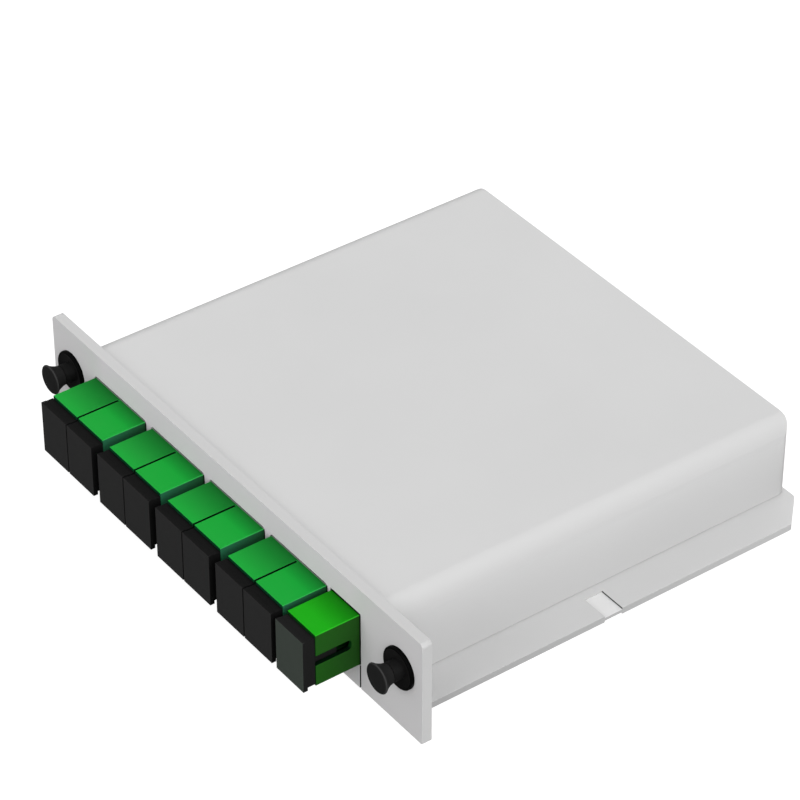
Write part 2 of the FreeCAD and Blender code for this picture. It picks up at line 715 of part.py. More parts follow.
def latch_plunger(x):
    """The latch's plunger: a flared pull knob on a shank whose bead runs in the barrel's pocket."""
    rim_r = KNOB_R - KNOB_EDGE
    steps = [(0, KNOB_FRONT), (rim_r, KNOB_FRONT),
             (KNOB_R, KNOB_FRONT + KNOB_RIM_T / 2, rim_r, KNOB_FRONT + KNOB_RIM_T),
             (FLARE_R, FLARE_Y, LATCH_HUB_R, KNOB_BACK), (SHANK_R, KNOB_BACK),
             (SHANK_R, BEAD_Y0), (BEAD_R, BEAD_Y0 + BEAD_RAMP), (BEAD_R, BEAD_Y1 - BEAD_RAMP),
             (SHANK_R, BEAD_Y1), (SHANK_R, SHANK_TIP - SHANK_NOSE),
             (SHANK_R - SHANK_NOSE, SHANK_TIP), (0, SHANK_TIP)]
    return turned(x, LATCH_Z, steps)


def rear_connector(x):
    """The plug in the rear of one port: a housing with a stop shoulder and room for the holder."""
    housing = upright(x - REAR_PLUG_W / 2, x + REAR_PLUG_W / 2, AXIS_Z - REAR_PLUG_H / 2,
                      AXIS_Z + REAR_PLUG_H / 2, REAR_PLUG_Y0, REAR_PLUG_Y1, REAR_PLUG_R)
    stop = upright(x - REAR_STOP_W / 2, x + REAR_STOP_W / 2, AXIS_Z - REAR_STOP_H / 2,
                   AXIS_Z + REAR_STOP_H / 2, REAR_STOP_Y0, REAR_STOP_Y1, REAR_STOP_R)
    play = REAR_PLUG_PLAY
    y0 = REAR_PLUG_Y0 - OVER
    cuts = [rod(x, AXIS_Z, HOLDER_R + play, y0, MID_Y + HOLDER_HALF + 2 * play),
            rod(x, AXIS_Z, FERRULE_R, y0, FERRULE_END)]
    for side in (-1, 1):
        low, high = sorted((AXIS_Z + side * (HOOK_BARB - play), AXIS_Z + side * (HOOK_HIGH + play)))
        cuts.append(block(x - HOOK_W / 2 - play, x + HOOK_W / 2 + play, y0,
                          MID_Y + HOOK_REACH + 2 * play, low, high))
    return housing.fuse(stop).removeSplitter().cut(Part.makeCompound(cuts))


def connector_boots():
    """The tapered boots behind the rear plugs."""
    boots = []
    for x in all_ports():
        steps = [(LEAD_R, REAR_PLUG_Y1), (BOOT_R0, REAR_PLUG_Y1),
                 (BOOT_R0, REAR_PLUG_Y1 + BOOT_COLLAR_L), (BOOT_R1, BOOT_Y1), (LEAD_R, BOOT_Y1)]
        boots.append(turned(x, AXIS_Z, steps))
    return Part.makeCompound(boots)


def connector_ferrules():
    """The rear plugs' ferrules, whose tips meet at the middle of the sleeves."""
    ferrules = []
    for x in all_ports():
        steps = [(0, FERRULE_TIP), (FERRULE_NOSE_R, FERRULE_TIP), (FERRULE_R, FERRULE_TIP + FERRULE_NOSE_L),
                 (FERRULE_R, FERRULE_END), (0, FERRULE_END)]
        ferrules.append(turned(x, AXIS_Z, steps))
    return Part.makeCompound(ferrules)


def splitter_case():
    """The steel case of the splitter chip."""
    x1 = CHIP_X0 + CHIP_L
    half = CHIP_SIDE / 2
    corners = [(CHIP_Y - half, CHIP_Z - half), (CHIP_Y + half, CHIP_Z - half),
               (CHIP_Y + half, CHIP_Z + half), (CHIP_Y - half, CHIP_Z + half)]
    return prism(corners, CHIP_R, lambda u, v: at(CHIP_X0, u, v), V(x1 - CHIP_X0, 0, 0))


def splitter_boot(x0, x1, half_y, half_z):
    """A soft boot at one end of the splitter case, wide at the case and narrower at the leads."""
    side = CHIP_SIDE / 2 - CHIP_BOOT_INSET

    def frame(x, hy, hz):
        points = [at(x, CHIP_Y + sy * hy, CHIP_Z + sz * hz)
                  for sy, sz in ((-1, -1), (1, -1), (1, 1), (-1, 1))]
        return Part.makePolygon(points + points[:1])

    return Part.makeLoft([frame(x0, side, side), frame(x1, half_y, half_z)], True, True)


def lead(points, radii):
    """A tube along straight runs and tangent arcs."""
    places = [at(*point) for point in points]
    path = Part.Wire(rounded_edges(places, [0.0] + radii + [0.0], False))
    heading = (places[1] - places[0]).normalize()
    section = Part.Wire([Part.makeCircle(LEAD_R, places[0], heading)])
    return path.makePipeShell([section], True, False)


def near_route(index, x):
    """An upper lead: it turns above its port, crosses over the lower leads and drops to its plug."""
    x0 = CHIP_X0 - CHIP_BOOT_L
    y0 = CHIP_Y + (1 - index) * LEAD_PITCH
    side = min(x, x0 - LEAD_BEND)
    points = [(x0, y0, UPPER_Z), (side, y0, UPPER_Z)]
    radii = [LEAD_BEND]
    if x > side:
        points += [(side, SWERVE_Y0, UPPER_Z), (x, SWERVE_Y1, UPPER_Z)]
        radii += [LEAD_BEND, LEAD_BEND]
    points += [(x, DROP_Y0, UPPER_Z), (x, DROP_Y1, LOWER_Z), (x, BOOT_Y1, LOWER_Z)]
    return points, radii + [DROP_R, DROP_R]


def far_route(index, x):
    """A lower lead: it turns back at the left wall and runs along the front to its port."""
    x0 = CHIP_X0 - CHIP_BOOT_L
    y0 = CHIP_Y + ((FAR_PORTS - 1) / 2 - index) * LEAD_PITCH
    side = FAR_SIDE + index * FAR_STEP
    cross = FAR_CROSS + index * FAR_STEP
    turn = min(LEAD_BEND, (y0 - cross) / 2 - LEAD_PLAY)
    last = min(LEAD_BEND, cross - BOOT_Y1 - LEAD_PLAY)
    return [(x0, y0, LOWER_Z), (side, y0, LOWER_Z), (side, cross, LOWER_Z),
            (x, cross, LOWER_Z), (x, BOOT_Y1, LOWER_Z)], [turn, turn, last]


def output_route(index, x):
    """The corners and bends of one output lead, from the splitter's boot to its plug."""
    if index < NEAR_PORTS:
        return near_route(index, x)
    return far_route(index - NEAR_PORTS, x)


def input_route(x):
    """The corners and bends of the input lead, from the splitter's boot to its plug."""
    x0 = CHIP_X0 + CHIP_L + CHIP_BOOT_L
    swerve_y0, swerve_y1 = INPUT_SWERVE
    points = [(x0, CHIP_Y, CHIP_Z), (INPUT_SIDE, CHIP_Y, CHIP_Z), (INPUT_SIDE, swerve_y0, CHIP_Z),
              (x, swerve_y1, CHIP_Z), (x, INPUT_DROP_Y, LOWER_Z), (x, BOOT_Y1, LOWER_Z)]
    return points, [INPUT_SIDE - x0 - LEAD_PLAY, LEAD_BEND, LEAD_BEND, DROP_R, DROP_R]


def case_screws():
    """Four pan-head screws from below."""
    screws = []
    for x in (SCREW_X, PLATE_W - SCREW_X):
        for y in SCREW_YS:
            head = post(x, y, SCREW_HEAD_R, SCREW_HEAD_Z0, SCREW_HEAD_T)
            shank = post(x, y, SCREW_R - SCREW_FIT, SCREW_HEAD_T, SCREW_TIP_Z)
            screw = fused([head, shank])
            for half_x, half_y in ((SCREW_CROSS_L, SCREW_CROSS_W), (SCREW_CROSS_W, SCREW_CROSS_L)):
                screw = screw.cut(block(x - half_x, x + half_x, y - half_y, y + half_y, 0, SCREW_CROSS_TOP))
            screws.append(screw)
    return Part.makeCompound(screws)


def build():
    """Every node of the object, by name."""
    nodes = {"faceplate": faceplate(), "cover": cover(), "base_tray": base_tray()}
    for name, x0, width in adapter_bodies():
        nodes[name] = adapter(x0, width)
    ports = all_ports()
    for i, x in enumerate(ports):
        last = i == len(ports) - 1
        label = "input" if last else "output_%d" % (i + 1)
        nodes["sleeve_holder_" + label] = sleeve_holder(x)
        nodes["dust_cap_" + label] = dust_cap(x, CAP_W_SINGLE if last else CAP_W_TWIN)
        nodes["connector_" + label] = rear_connector(x)
        points, radii = input_route(x) if last else output_route(i, x)
        nodes["lead_" + label] = lead(points, radii)
    for side, x in (("left", LATCH_END), ("right", PLATE_W - LATCH_END)):
        nodes["latch_grommet_" + side] = latch_grommet(x)
        nodes["latch_plunger_" + side] = latch_plunger(x)
    nodes["splitter_case"] = splitter_case()
    x1 = CHIP_X0 + CHIP_L
    nodes["splitter_boot_output"] = splitter_boot(CHIP_X0, CHIP_X0 - CHIP_BOOT_L, FAN_HALF_W, FAN_HALF_H)
    nodes["splitter_boot_input"] = splitter_boot(x1, x1 + CHIP_BOOT_L, INPUT_BOOT_HALF, INPUT_BOOT_HALF)
    nodes["ceramic_sleeves"] = ceramic_sleeves()
    nodes["connector_ferrules"] = connector_ferrules()
    nodes["connector_boots"] = connector_boots()
    nodes["case_screws"] = case_screws()
    return nodes


def main():
    """Writes each node to its own file and prints what it measures."""
    os.makedirs("parts", exist_ok=True)
    for name, shape in build().items():
        shape.exportStep("parts/%s.step" % name)
        print(name, "valid", shape.isValid(), "solids", len(shape.Solids), "volume", round(shape.Volume, 2))


main()
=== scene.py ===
"""Dresses the fibre splitter cassette: finishes, softened mouldings, caps, latches and a plain studio."""

from __future__ import annotations

import json
import logging
import math
from dataclasses import dataclass, replace
from enum import Enum

import bmesh
import bpy
from mathutils import Matrix, Vector


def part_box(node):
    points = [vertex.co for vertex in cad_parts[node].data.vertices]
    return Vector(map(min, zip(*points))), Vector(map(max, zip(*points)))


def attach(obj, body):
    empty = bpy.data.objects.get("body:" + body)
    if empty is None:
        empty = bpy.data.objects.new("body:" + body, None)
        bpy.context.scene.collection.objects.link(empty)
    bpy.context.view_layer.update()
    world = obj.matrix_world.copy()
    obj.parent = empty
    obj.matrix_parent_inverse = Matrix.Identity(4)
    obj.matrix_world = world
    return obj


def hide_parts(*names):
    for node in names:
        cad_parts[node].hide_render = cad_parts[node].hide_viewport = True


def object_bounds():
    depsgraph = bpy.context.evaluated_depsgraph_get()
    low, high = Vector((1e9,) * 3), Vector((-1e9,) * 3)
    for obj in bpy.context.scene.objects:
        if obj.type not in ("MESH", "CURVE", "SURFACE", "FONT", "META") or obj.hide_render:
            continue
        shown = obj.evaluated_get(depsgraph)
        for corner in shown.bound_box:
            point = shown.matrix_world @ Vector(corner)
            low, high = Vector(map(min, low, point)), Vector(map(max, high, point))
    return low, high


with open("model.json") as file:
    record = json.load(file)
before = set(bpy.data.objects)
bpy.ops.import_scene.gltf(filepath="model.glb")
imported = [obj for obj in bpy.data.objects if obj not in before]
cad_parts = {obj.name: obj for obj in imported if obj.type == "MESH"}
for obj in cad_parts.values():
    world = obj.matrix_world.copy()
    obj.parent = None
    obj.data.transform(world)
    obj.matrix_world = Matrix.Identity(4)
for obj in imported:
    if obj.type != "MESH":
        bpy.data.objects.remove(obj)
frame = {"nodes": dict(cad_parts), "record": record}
CAD_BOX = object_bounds()

MM = 0.001
WELD_M = 1e-7
NEAR_M = 1e-5
NOISE_SPAN = (0.3, 0.7)
WHITE = (1.0, 1.0, 1.0, 1.0)
ROOT_BODY = "cassette"
LOG = logging.getLogger("cassette")

Colour = tuple[float, float, float, float]
Socket = bpy.types.NodeSocket


def linear(hex_colour: str) -> Colour:
    """Turns a screen colour into the linear colour that shaders use.

    Args:
        hex_colour: Six hexadecimal digits, red first.

    Returns:
        Red, green, blue and an alpha of one.
    """
    channels = [int(hex_colour[i:i + 2], 16) / 255 for i in (0, 2, 4)]
    return tuple(c / 12.92 if c <= 0.04045 else ((c + 0.055) / 1.055) ** 2.4 for c in channels) + (1.0,)


def shaded(colour: Colour, factor: float) -> Colour:
    """Makes a colour lighter or darker by a factor, within range."""
    return tuple(min(1.0, c * factor) for c in colour[:3]) + (1.0,)


class Weave:
    """A small helper that adds and links shader nodes in one material."""

    def __init__(self, name: str) -> None:
        """Starts an empty material with one Principled shader."""
        self.material = bpy.data.materials.new(name)
        self.material.use_nodes = True
        self.tree = self.material.node_tree
        self.shader = self.tree.nodes["Principled BSDF"]
        coords = self.tree.nodes.new("ShaderNodeTexCoord")
        self.place = coords.outputs["Object"]
        self.normal = coords.outputs["Normal"]

    def link(self, source: Socket, target: Socket) -> None:
        """Joins two sockets."""
        self.tree.links.new(source, target)

    def feed(self, target: Socket, value: Socket | float | Colour) -> None:
        """Gives a socket its value.

        Args:
            target: The socket that gets it.
            value: Another socket, which is linked, or a plain number or colour.
        """
        if isinstance(value, Socket):
            self.link(value, target)
        else:
            target.default_value = value

    def math(self, operation: str, first: Socket | float, second: Socket | float = 0.0) -> Socket:
        """Works out one sum.

        Args:
            operation: The sum's name, as the Math node has it.
            first: The first value.
            second: The second value, where the sum has one.

        Returns:
            The result's socket.
        """
        node = self.tree.nodes.new("ShaderNodeMath")
        node.operation = operation
        self.feed(node.inputs[0], first)
        self.feed(node.inputs[1], second)
        return node.outputs["Value"]

    def axes(self, source: Socket) -> tuple[Socket, ...]:
        """Splits a vector.

        Args:
            source: The vector's socket.

        Returns:
            The sockets of its X, Y and Z.
        """
        node = self.tree.nodes.new("ShaderNodeSeparateXYZ")
        self.link(source, node.inputs["Vector"])
        return tuple(node.outputs)

    def remap(
        self, source: Socket, start: Socket | float, stop: Socket | float,
        low: float = 0.0, high: float = 1.0
    ) -> Socket:
        """Maps a value between start and stop onto low to high, and holds it there outside.

        Args:
            source: The value.
            start: The value that becomes low.
            stop: The value that becomes high.
            low: The result at start.
            high: The result at stop.

        Returns:
            The result's socket.
        """
        node = self.tree.nodes.new("ShaderNodeMapRange")
        self.feed(node.inputs["From Min"], start)
        self.feed(node.inputs["From Max"], stop)
        node.inputs["To Min"].default_value = low
        node.inputs["To Max"].default_value = high
        self.link(source, node.inputs["Value"])
        return node.outputs["Result"]

    def spread(self, pattern: Socket, low: float = 0.0, high: float = 1.0) -> Socket:
        """Maps a noise pattern's usual span onto low to high."""
        return self.remap(pattern, *NOISE_SPAN, low, high)

    def halfway(self, share: Socket, peak: float = 0.25) -> Socket:
        """Makes a share that is largest where another is half, and none at its two ends."""
        return self.remap(self.math("MULTIPLY", share, self.math("SUBTRACT", 1.0, share)), 0.0, peak)

    def noise(self, size_mm: float, detail: float = 3.0, stretch: tuple[float, ...] = (1, 1, 1)) -> Socket:
        """Adds a noise pattern on object coordinates.

        Args:
            size_mm: How wide one blotch of the pattern is.
            detail: How many finer layers the pattern has.
            stretch: How much tighter the pattern is along each axis.

        Returns:
            The socket of the noise's value.
        """
        mapping = self.tree.nodes.new("ShaderNodeMapping")
        mapping.inputs["Scale"].default_value = stretch
        self.link(self.place, mapping.inputs["Vector"])
        node = self.tree.nodes.new("ShaderNodeTexNoise")
        node.inputs["Scale"].default_value = 1 / (size_mm * MM)
        node.inputs["Detail"].default_value = detail
        self.link(mapping.outputs["Vector"], node.inputs["Vector"])
        return node.outputs["Fac"]

    def blend(self, factor: Socket, first: Socket | Colour, second: Socket | Colour) -> Socket:
        """Mixes two colours.

        Args:
            factor: How much there is of the second colour.
            first: The colour at none.
            second: The colour at one.

        Returns:
            The mixed colour's socket.
        """
        node = self.tree.nodes.new("ShaderNodeMix")
        node.data_type = "RGBA"
        colours = [socket for socket in node.inputs if socket.type == "RGBA"]
        self.feed(colours[0], first)
        self.feed(colours[1], second)
        self.link(factor, node.inputs["Factor"])
        return next(socket for socket in node.outputs if socket.type == "RGBA")

    def within(self, source: Socket, low: float, high: float, soft: float) -> Socket:
        """Finds where a value lies between two bounds.

        Args:
            source: The value.
            low: The lower bound.
            high: The upper bound.
            soft: How far outside the bounds the result fades to nothing.

        Returns:
            The socket of a share that is one between the bounds.
        """
        return self.both(self.remap(source, low - soft, low), self.remap(source, high + soft, high))

    def both(self, *shares: Socket) -> Socket:
        """Multiplies shares, so that the result is one only where all of them are.

        Args:
            shares: The sockets of the shares.

        Returns:
            The result's socket.
        """
        total = shares[0]
        for share in shares[1:]:
            total = self.math("MULTIPLY", total, share)
        return total

    def grain(self, size_mm: float, depth_mm: float) -> None:
        """Gives the surface a fine raised grain.

        Args:
            size_mm: How wide one grain is.
            depth_mm: How high it stands.
        """
        node = self.tree.nodes.new("ShaderNodeBump")
        node.inputs["Distance"].default_value = depth_mm * MM
        node.inputs["Strength"].default_value = 1.0
        self.link(self.noise(size_mm, detail=2.0), node.inputs["Height"])
        self.link(node.outputs["Normal"], self.shader.inputs["Normal"])

    def uneven_gloss(self, roughness: float, size_mm: float, spread: float = 0.04) -> None:
        """Lets the roughness wander a little round its value."""
        wander = self.spread(self.noise(size_mm), roughness - spread, roughness + spread)
        self.link(wander, self.shader.inputs["Roughness"])


@dataclass(frozen=True)
class MouldedPlastic:
    """An injection-moulded plastic with a fine spark-eroded grain and a slow colour drift."""

    name: str
    colour: str
    roughness: float = 0.5
    grain_mm: float = 0.35
    grain_depth_mm: float = 0.004
    drift: float = 0.012
    drift_mm: float = 30.0
    specular: float = 0.3

    def painted_light_and_shade(self, weave: Weave, tone: Socket) -> Socket:
        """Lays painted light or shade at special places; a plain moulding has none."""
        return tone

    def material(self) -> bpy.types.Material:
        """Builds the node material.

        Returns:
            The material.
        """
        weave = Weave(self.name)
        base = linear(self.colour)
        drift = weave.spread(weave.noise(self.drift_mm))
        tone = weave.blend(drift, shaded(base, 1 - self.drift), shaded(base, 1 + self.drift))
        weave.link(self.painted_light_and_shade(weave, tone), weave.shader.inputs["Base Color"])
        weave.uneven_gloss(self.roughness, self.drift_mm / 3)
        weave.shader.inputs["Specular IOR Level"].default_value = self.specular
        weave.grain(self.grain_mm, self.grain_depth_mm)
        return weave.material


@dataclass(frozen=True)
class CoverPlastic(MouldedPlastic):
    """The cover's grey, with painted shade that tones down the lamps' highlight on its rounding and darkens
    its sides down to where they meet the tray.
    """

    # Painted shade: a darker tone on the rounding, against the lamps' highlight there, and a darker foot tone
    # low on the sides.
    rounding: str = "c7c7c7"
    foot: str = "bcbcbc"
    foot_mm: float = 6.3
    fade_mm: float = 20.0
    upright: tuple[float, float] = (0.8, 0.3)

    def painted_light_and_shade(self, weave: Weave, tone: Socket) -> Socket:
        """Lays painted shade on the rounding between top and sides, and more painted shade over the lower
        sides.

        Args:
            weave: The material's nodes.
            tone: The tone so far.

        Returns:
            The changed tone.
        """
        height = weave.axes(weave.place)[2]
        low = weave.remap(height, self.fade_mm * MM, self.foot_mm * MM)
        level = weave.math("ABSOLUTE", weave.axes(weave.normal)[2])
        # Painted shade on the rounding, then on the lower sides.
        tone = weave.blend(weave.halfway(level), tone, linear(self.rounding))
        return weave.blend(weave.both(low, weave.remap(level, *self.upright)), tone, linear(self.foot))


@dataclass(frozen=True)
class FaceplatePlastic(MouldedPlastic):
    """The faceplate's grey, with painted light: a front lighter than the top, and a lighter, pinker strip
    above the green adapters that cancels their green bounce and shade.
    """

    # Painted light: a lighter front tone, and a lighter, pinker tone for the strip above the adapters.
    front: str = "d0cfd0"
    band_painted_light: str = "dad2da"
    x_start: float = 0.0
    x_stop: float = 1.0
    band_z: float = 1.0
    soft_mm: float = 4.0
    facing: tuple[float, float] = (-0.7, -0.9)

    def painted_light_and_shade(self, weave: Weave, tone: Socket) -> Socket:
        """Lays painted light on the front, and more painted light on the strip above the adapters.

        Args:
            weave: The material's nodes.
            tone: The tone so far.

        Returns:
            The changed tone.
        """
        across, _, height = weave.axes(weave.place)
        soft = self.soft_mm * MM
        # Painted light on the faces that look forward, more of it above the adapters.
        ahead = weave.remap(weave.axes(weave.normal)[1], *self.facing)
        above = weave.both(weave.within(across, self.x_start, self.x_stop, soft),
                           weave.remap(height, self.band_z - soft, self.band_z))
        return weave.blend(ahead, tone, weave.blend(above, linear(self.front), linear(self.band_painted_light)))


@dataclass(frozen=True)
class TrayPlastic(MouldedPlastic):
    """The tray's grey, with painted shade on the wings' thin edges, the notches' walls and narrow gaps, and
    painted light on the notches' floors.
    """

    # Painted shade on the wings' edges, the notches' walls and the gaps; painted light on the notches'
    # floors.
    edge_front_painted_shade: str = "adadad"
    edge_back_painted_shade: str = "c5c5c5"
    notch_floor_painted_light: str = "e6e6e6"
    notch_wall_painted_shade: str = "4a4a4a"
    gap: str = "2c2c2c"
    wing_top_mm: float = 6.05
    notch_floor_mm: float = 5.65
    y_front: float = 0.0
    y_back: float = 1.0
    soft_mm: float = 0.08
    aside_facing: tuple[float, float] = (0.5, 0.8)
    floor_facing: tuple[float, float] = (0.7, 0.9)
    wall_facing: tuple[float, float] = (-0.6, -0.8)

    def painted_light_and_shade(self, weave: Weave, tone: Socket) -> Socket:
        """Lays painted shade on the edges, the notches' walls and the gaps, and painted light on the notches'
        floors, over the grey.

        Args:
            weave: The material's nodes.
            tone: The tone so far.

        Returns:
            The changed tone.
        """
        _, back, height = weave.axes(weave.place)
        sideways, along, upward = weave.axes(weave.normal)
        soft = self.soft_mm * MM
        aside = weave.remap(weave.math("ABSOLUTE", sideways), *self.aside_facing)
        low = weave.remap(height, self.wing_top_mm * MM, self.wing_top_mm * MM - soft)
        # Painted shade on the side faces below the wings' tops, darker towards the front.
        edge = weave.blend(weave.remap(back, self.y_front, self.y_back), linear(self.edge_front_painted_shade),
                           linear(self.edge_back_painted_shade))
        tone = weave.blend(weave.both(aside, low), tone, edge)
        # Painted light on the notches' floors.
        level = self.notch_floor_mm * MM
        floor = weave.within(height, level - soft, level + soft, soft)
        behind = weave.remap(back, self.y_front, self.y_front + soft)
        floor = weave.both(floor, behind, weave.remap(upward, *self.floor_facing))
        tone = weave.blend(floor, tone, linear(self.notch_floor_painted_light))
        # Painted shade on the notches' walls.
        step = weave.within(height, level, self.wing_top_mm * MM, soft)
        wall = weave.both(step, behind, weave.remap(along, *self.wall_facing))
        tone = weave.blend(wall, tone, linear(self.notch_wall_painted_shade))
        # Painted shade on the side faces in front of the faceplate's back, in the narrow gaps.
        ahead = weave.remap(back, self.y_front, self.y_front - soft)
        return weave.blend(weave.both(aside, ahead), tone, linear(self.gap))


@dataclass(frozen=True)
class FacedPlastic:
    """A plastic with painted light: its own tones on fronts, tops and sides by which way a face points, and a
    paler painted highlight round the edges.
    """

    name: str
    # Painted light: the front, top and side tones follow which way a face points, and the edge tone is a
    # painted highlight.
    front: str
    top: str
    side: str
    edge: str
    roughness: float = 0.5
    grain_mm: float = 0.3
    grain_depth_mm: float = 0.003
    specular: float = 0.1
    facing_start: float = 0.55
    facing_stop: float = 0.85
    gloss_mm: float = 4.0

    def top_painted_light_tone(self, weave: Weave) -> Socket | Colour:
        """The painted-light tone of the upper faces."""
        return linear(self.top)

    def side_painted_light_tone(self, weave: Weave) -> Socket | Colour:
        """The painted-light tone of the side faces."""
        return linear(self.side)

    def painted_light_and_shade(self, weave: Weave, tone: Socket) -> Socket:
        """Lays painted light or shade at special places; a plain piece has none."""
        return tone

    def edge_highlight_share(self, weave: Weave) -> Socket:
        """How much of the painted highlight a place gets: most half-way round the front face's edges."""
        ahead = weave.math("MULTIPLY", weave.axes(weave.normal)[1], -1.0)
        return weave.halfway(weave.math("MAXIMUM", ahead))

    def material(self) -> bpy.types.Material:
        """Builds the node material.

        Returns:
            The material.
        """
        weave = Weave(self.name)
        _, along, upward = weave.axes(weave.normal)
        # Painted light by which way a face points, then the painted highlight round the edges.
        up = weave.remap(upward, self.facing_start, self.facing_stop)
        ahead = weave.remap(weave.math("MULTIPLY", along, -1.0), self.facing_start, self.facing_stop)
        tone = weave.blend(up, self.side_painted_light_tone(weave), self.top_painted_light_tone(weave))
        tone = weave.blend(ahead, tone, linear(self.front))
        tone = weave.blend(self.edge_highlight_share(weave), tone, linear(self.edge))
        weave.link(self.painted_light_and_shade(weave, tone), weave.shader.inputs["Base Color"])
        weave.uneven_gloss(self.roughness, self.gloss_mm)
        weave.shader.inputs["Specular IOR Level"].default_value = self.specular
        weave.grain(self.grain_mm, self.grain_depth_mm)
        return weave.material


@dataclass(frozen=True)
class AdapterPlastic(FacedPlastic):
    """The adapters' green, with painted shade that darkens each port towards the faceplate."""

    # Painted shade: darker tones for tops and sides towards the faceplate, a dark tone in the key slots and
    # the groove, and a thin pale or dark line with dark shade behind it where the body enters the faceplate.
    back_painted_shade: str = "1a6a28"
    side_back_painted_shade: str = "1a4426"
    recess_painted_shade: str = "04180a"
    seam_painted_light: str = "8a918c"
    seam_mm: float = 0.2
    gap: str = "1c201c"
    turns: tuple[tuple[float, float], ...] = ((0.0, 1.1),)
    x_start: float = 0.0
    x_stop: float = 1.0
    y_start: float = 0.0
    y_stop: float = 1.0
    crown_z: float = 1.0
    groove_mm: float = 0.4
    soft_mm: float = 0.06
    recess_drop: tuple[float, float] = (5.0, 6.0)
    edge_drop: tuple[float, float] = (4.0, 1.0)
    edge_peak: float = 0.2
    slot_aside: tuple[float, float] = (0.9, 0.7)
    slot_along: tuple[float, float] = (-0.9, -0.7)
    groove_aside: tuple[float, float] = (0.75, 0.95)
    line_upward: tuple[float, float] = (0.5, 0.7)

    def top_painted_light_tone(self, weave: Weave) -> Socket:
        """The top's tone, with painted shade by how far back over its port a place lies.

        Args:
            weave: The material's nodes.

        Returns:
            The tone's socket.
        """
        x, y, _ = weave.axes(weave.place)
        back = weave.remap(y, self.y_start, self.y_stop)
        first, last = self.turns[0], self.turns[-1]
        port = weave.math("GREATER_THAN", x, (self.x_start + self.x_stop) / 2)
        start = weave.math("ADD", first[0], weave.math("MULTIPLY", port, last[0] - first[0]))
        stop = weave.math("ADD", first[1], weave.math("MULTIPLY", port, last[1] - first[1]))
        return weave.blend(weave.remap(back, start, stop), linear(self.top), linear(self.back_painted_shade))

    def side_painted_light_tone(self, weave: Weave) -> Socket:
        """The sides' tone, with painted shade that also darkens it towards the faceplate."""
        back = weave.remap(weave.axes(weave.place)[1], self.y_start, self.y_stop)
        return weave.blend(back, linear(self.side), linear(self.side_back_painted_shade))

    def drop(self, weave: Weave, height: Socket, span: tuple[float, float]) -> Socket:
        """Maps the drop below the crown, counted in soft widths, onto none to one."""
        start, stop = (self.crown_z - times * self.soft_mm * MM for times in span)
        return weave.remap(height, start, stop)

    def painted_light_and_shade(self, weave: Weave, tone: Socket) -> Socket:
        """Paints shade into the key slots and the groove, and paints light and shade where the body enters
        the faceplate: a thin pale or dark line on the top, then dark shade.

        Args:
            weave: The material's nodes.
            tone: The tone so far.

        Returns:
            The changed tone.
        """
        across, back, height = weave.axes(weave.place)
        sideways, along, upward = weave.axes(weave.normal)
        soft = self.soft_mm * MM
        # Painted shade in the key slots.
        below = self.drop(weave, height, self.recess_drop)
        aside = weave.math("ABSOLUTE", sideways)
        inner = weave.both(below, weave.remap(aside, *self.slot_aside), weave.remap(along, *self.slot_along))
        tone = weave.blend(inner, tone, linear(self.recess_painted_shade))
        # Painted shade in the groove between the two ports.
        if len(self.turns) > 1:
            middle, reach = (self.x_start + self.x_stop) / 2, self.groove_mm * MM
            groove = weave.within(across, middle - reach, middle + reach, soft)
            groove = weave.both(groove, weave.remap(aside, *self.groove_aside))
            tone = weave.blend(groove, tone, linear(self.recess_painted_shade))
        # Painted light and shade where the body enters the faceplate.
        seam_end = self.y_stop + self.seam_mm * MM
        line = weave.blend(weave.remap(back, seam_end, seam_end + soft), linear(self.seam_painted_light), linear(self.gap))
        line = weave.blend(weave.remap(upward, *self.line_upward), linear(self.gap), line)
        return weave.blend(weave.remap(back, self.y_stop - soft, self.y_stop), tone, line)

    def edge_highlight_share(self, weave: Weave) -> Socket:
        """How much of the painted highlight a place gets: only round the top's edges.

        Args:
            weave: The material's nodes.

        Returns:
            The share's socket.
        """
        above = weave.math("MAXIMUM", weave.axes(weave.normal)[2])
        near_top = self.drop(weave, weave.axes(weave.place)[2], self.edge_drop)
        return weave.both(weave.halfway(above, self.edge_peak), near_top)


@dataclass(frozen=True)
class CollarPlastic(FacedPlastic):
    """The latch collars' black, with painted shade on the rim round the dish."""

    # Painted shade on the rim round the dish.
    rim: str = "050505"
    rim_r_mm: float = 4.12
    axis_x: float = 0.0
    axis_z: float = 0.0
    soft_mm: float = 0.1

    def painted_light_and_shade(self, weave: Weave, tone: Socket) -> Socket:
        """Lays painted shade on the rim, where a place is further than the dish from the latch's axis.

        Args:
            weave: The material's nodes.
            tone: The tone so far.

        Returns:
            The changed tone.
        """
        x, _, z = weave.axes(weave.place)
        across = weave.math("POWER", weave.math("SUBTRACT", x, self.axis_x), 2.0)
        upward = weave.math("POWER", weave.math("SUBTRACT", z, self.axis_z), 2.0)
        radius = weave.math("SQRT", weave.math("ADD", across, upward))
        start = self.rim_r_mm * MM
        return weave.blend(weave.remap(radius, start, start + self.soft_mm * MM), tone, linear(self.rim))


@dataclass(frozen=True)
class DrawnSteel:
    """A drawn or plated steel, with fine lines along one axis."""

    name: str
    colour: str
    roughness: float = 0.32
    line_mm: float = 0.12
    line_depth_mm: float = 0.003
    line_detail: float = 4.0
    contrast: tuple[float, float] = (0.9, 1.08)
    wander: tuple[float, float] = (-0.06, 0.08)
    stretch: tuple[float, float, float] = (0.04, 1.0, 1.0)

    def material(self) -> bpy.types.Material:
        """Builds the node material.

        Returns:
            The material.
        """
        weave = Weave(self.name)
        base = linear(self.colour)
        lines = weave.noise(self.line_mm, self.line_detail, self.stretch)
        dull, bright = self.contrast
        tone = weave.blend(weave.spread(lines), shaded(base, dull), shaded(base, bright))
        weave.link(tone, weave.shader.inputs["Base Color"])
        gloss = weave.spread(lines, self.roughness + self.wander[0], self.roughness + self.wander[1])
        weave.link(gloss, weave.shader.inputs["Roughness"])
        weave.shader.inputs["Metallic"].default_value = 1.0
        weave.grain(self.line_mm, self.line_depth_mm)
        return weave.material


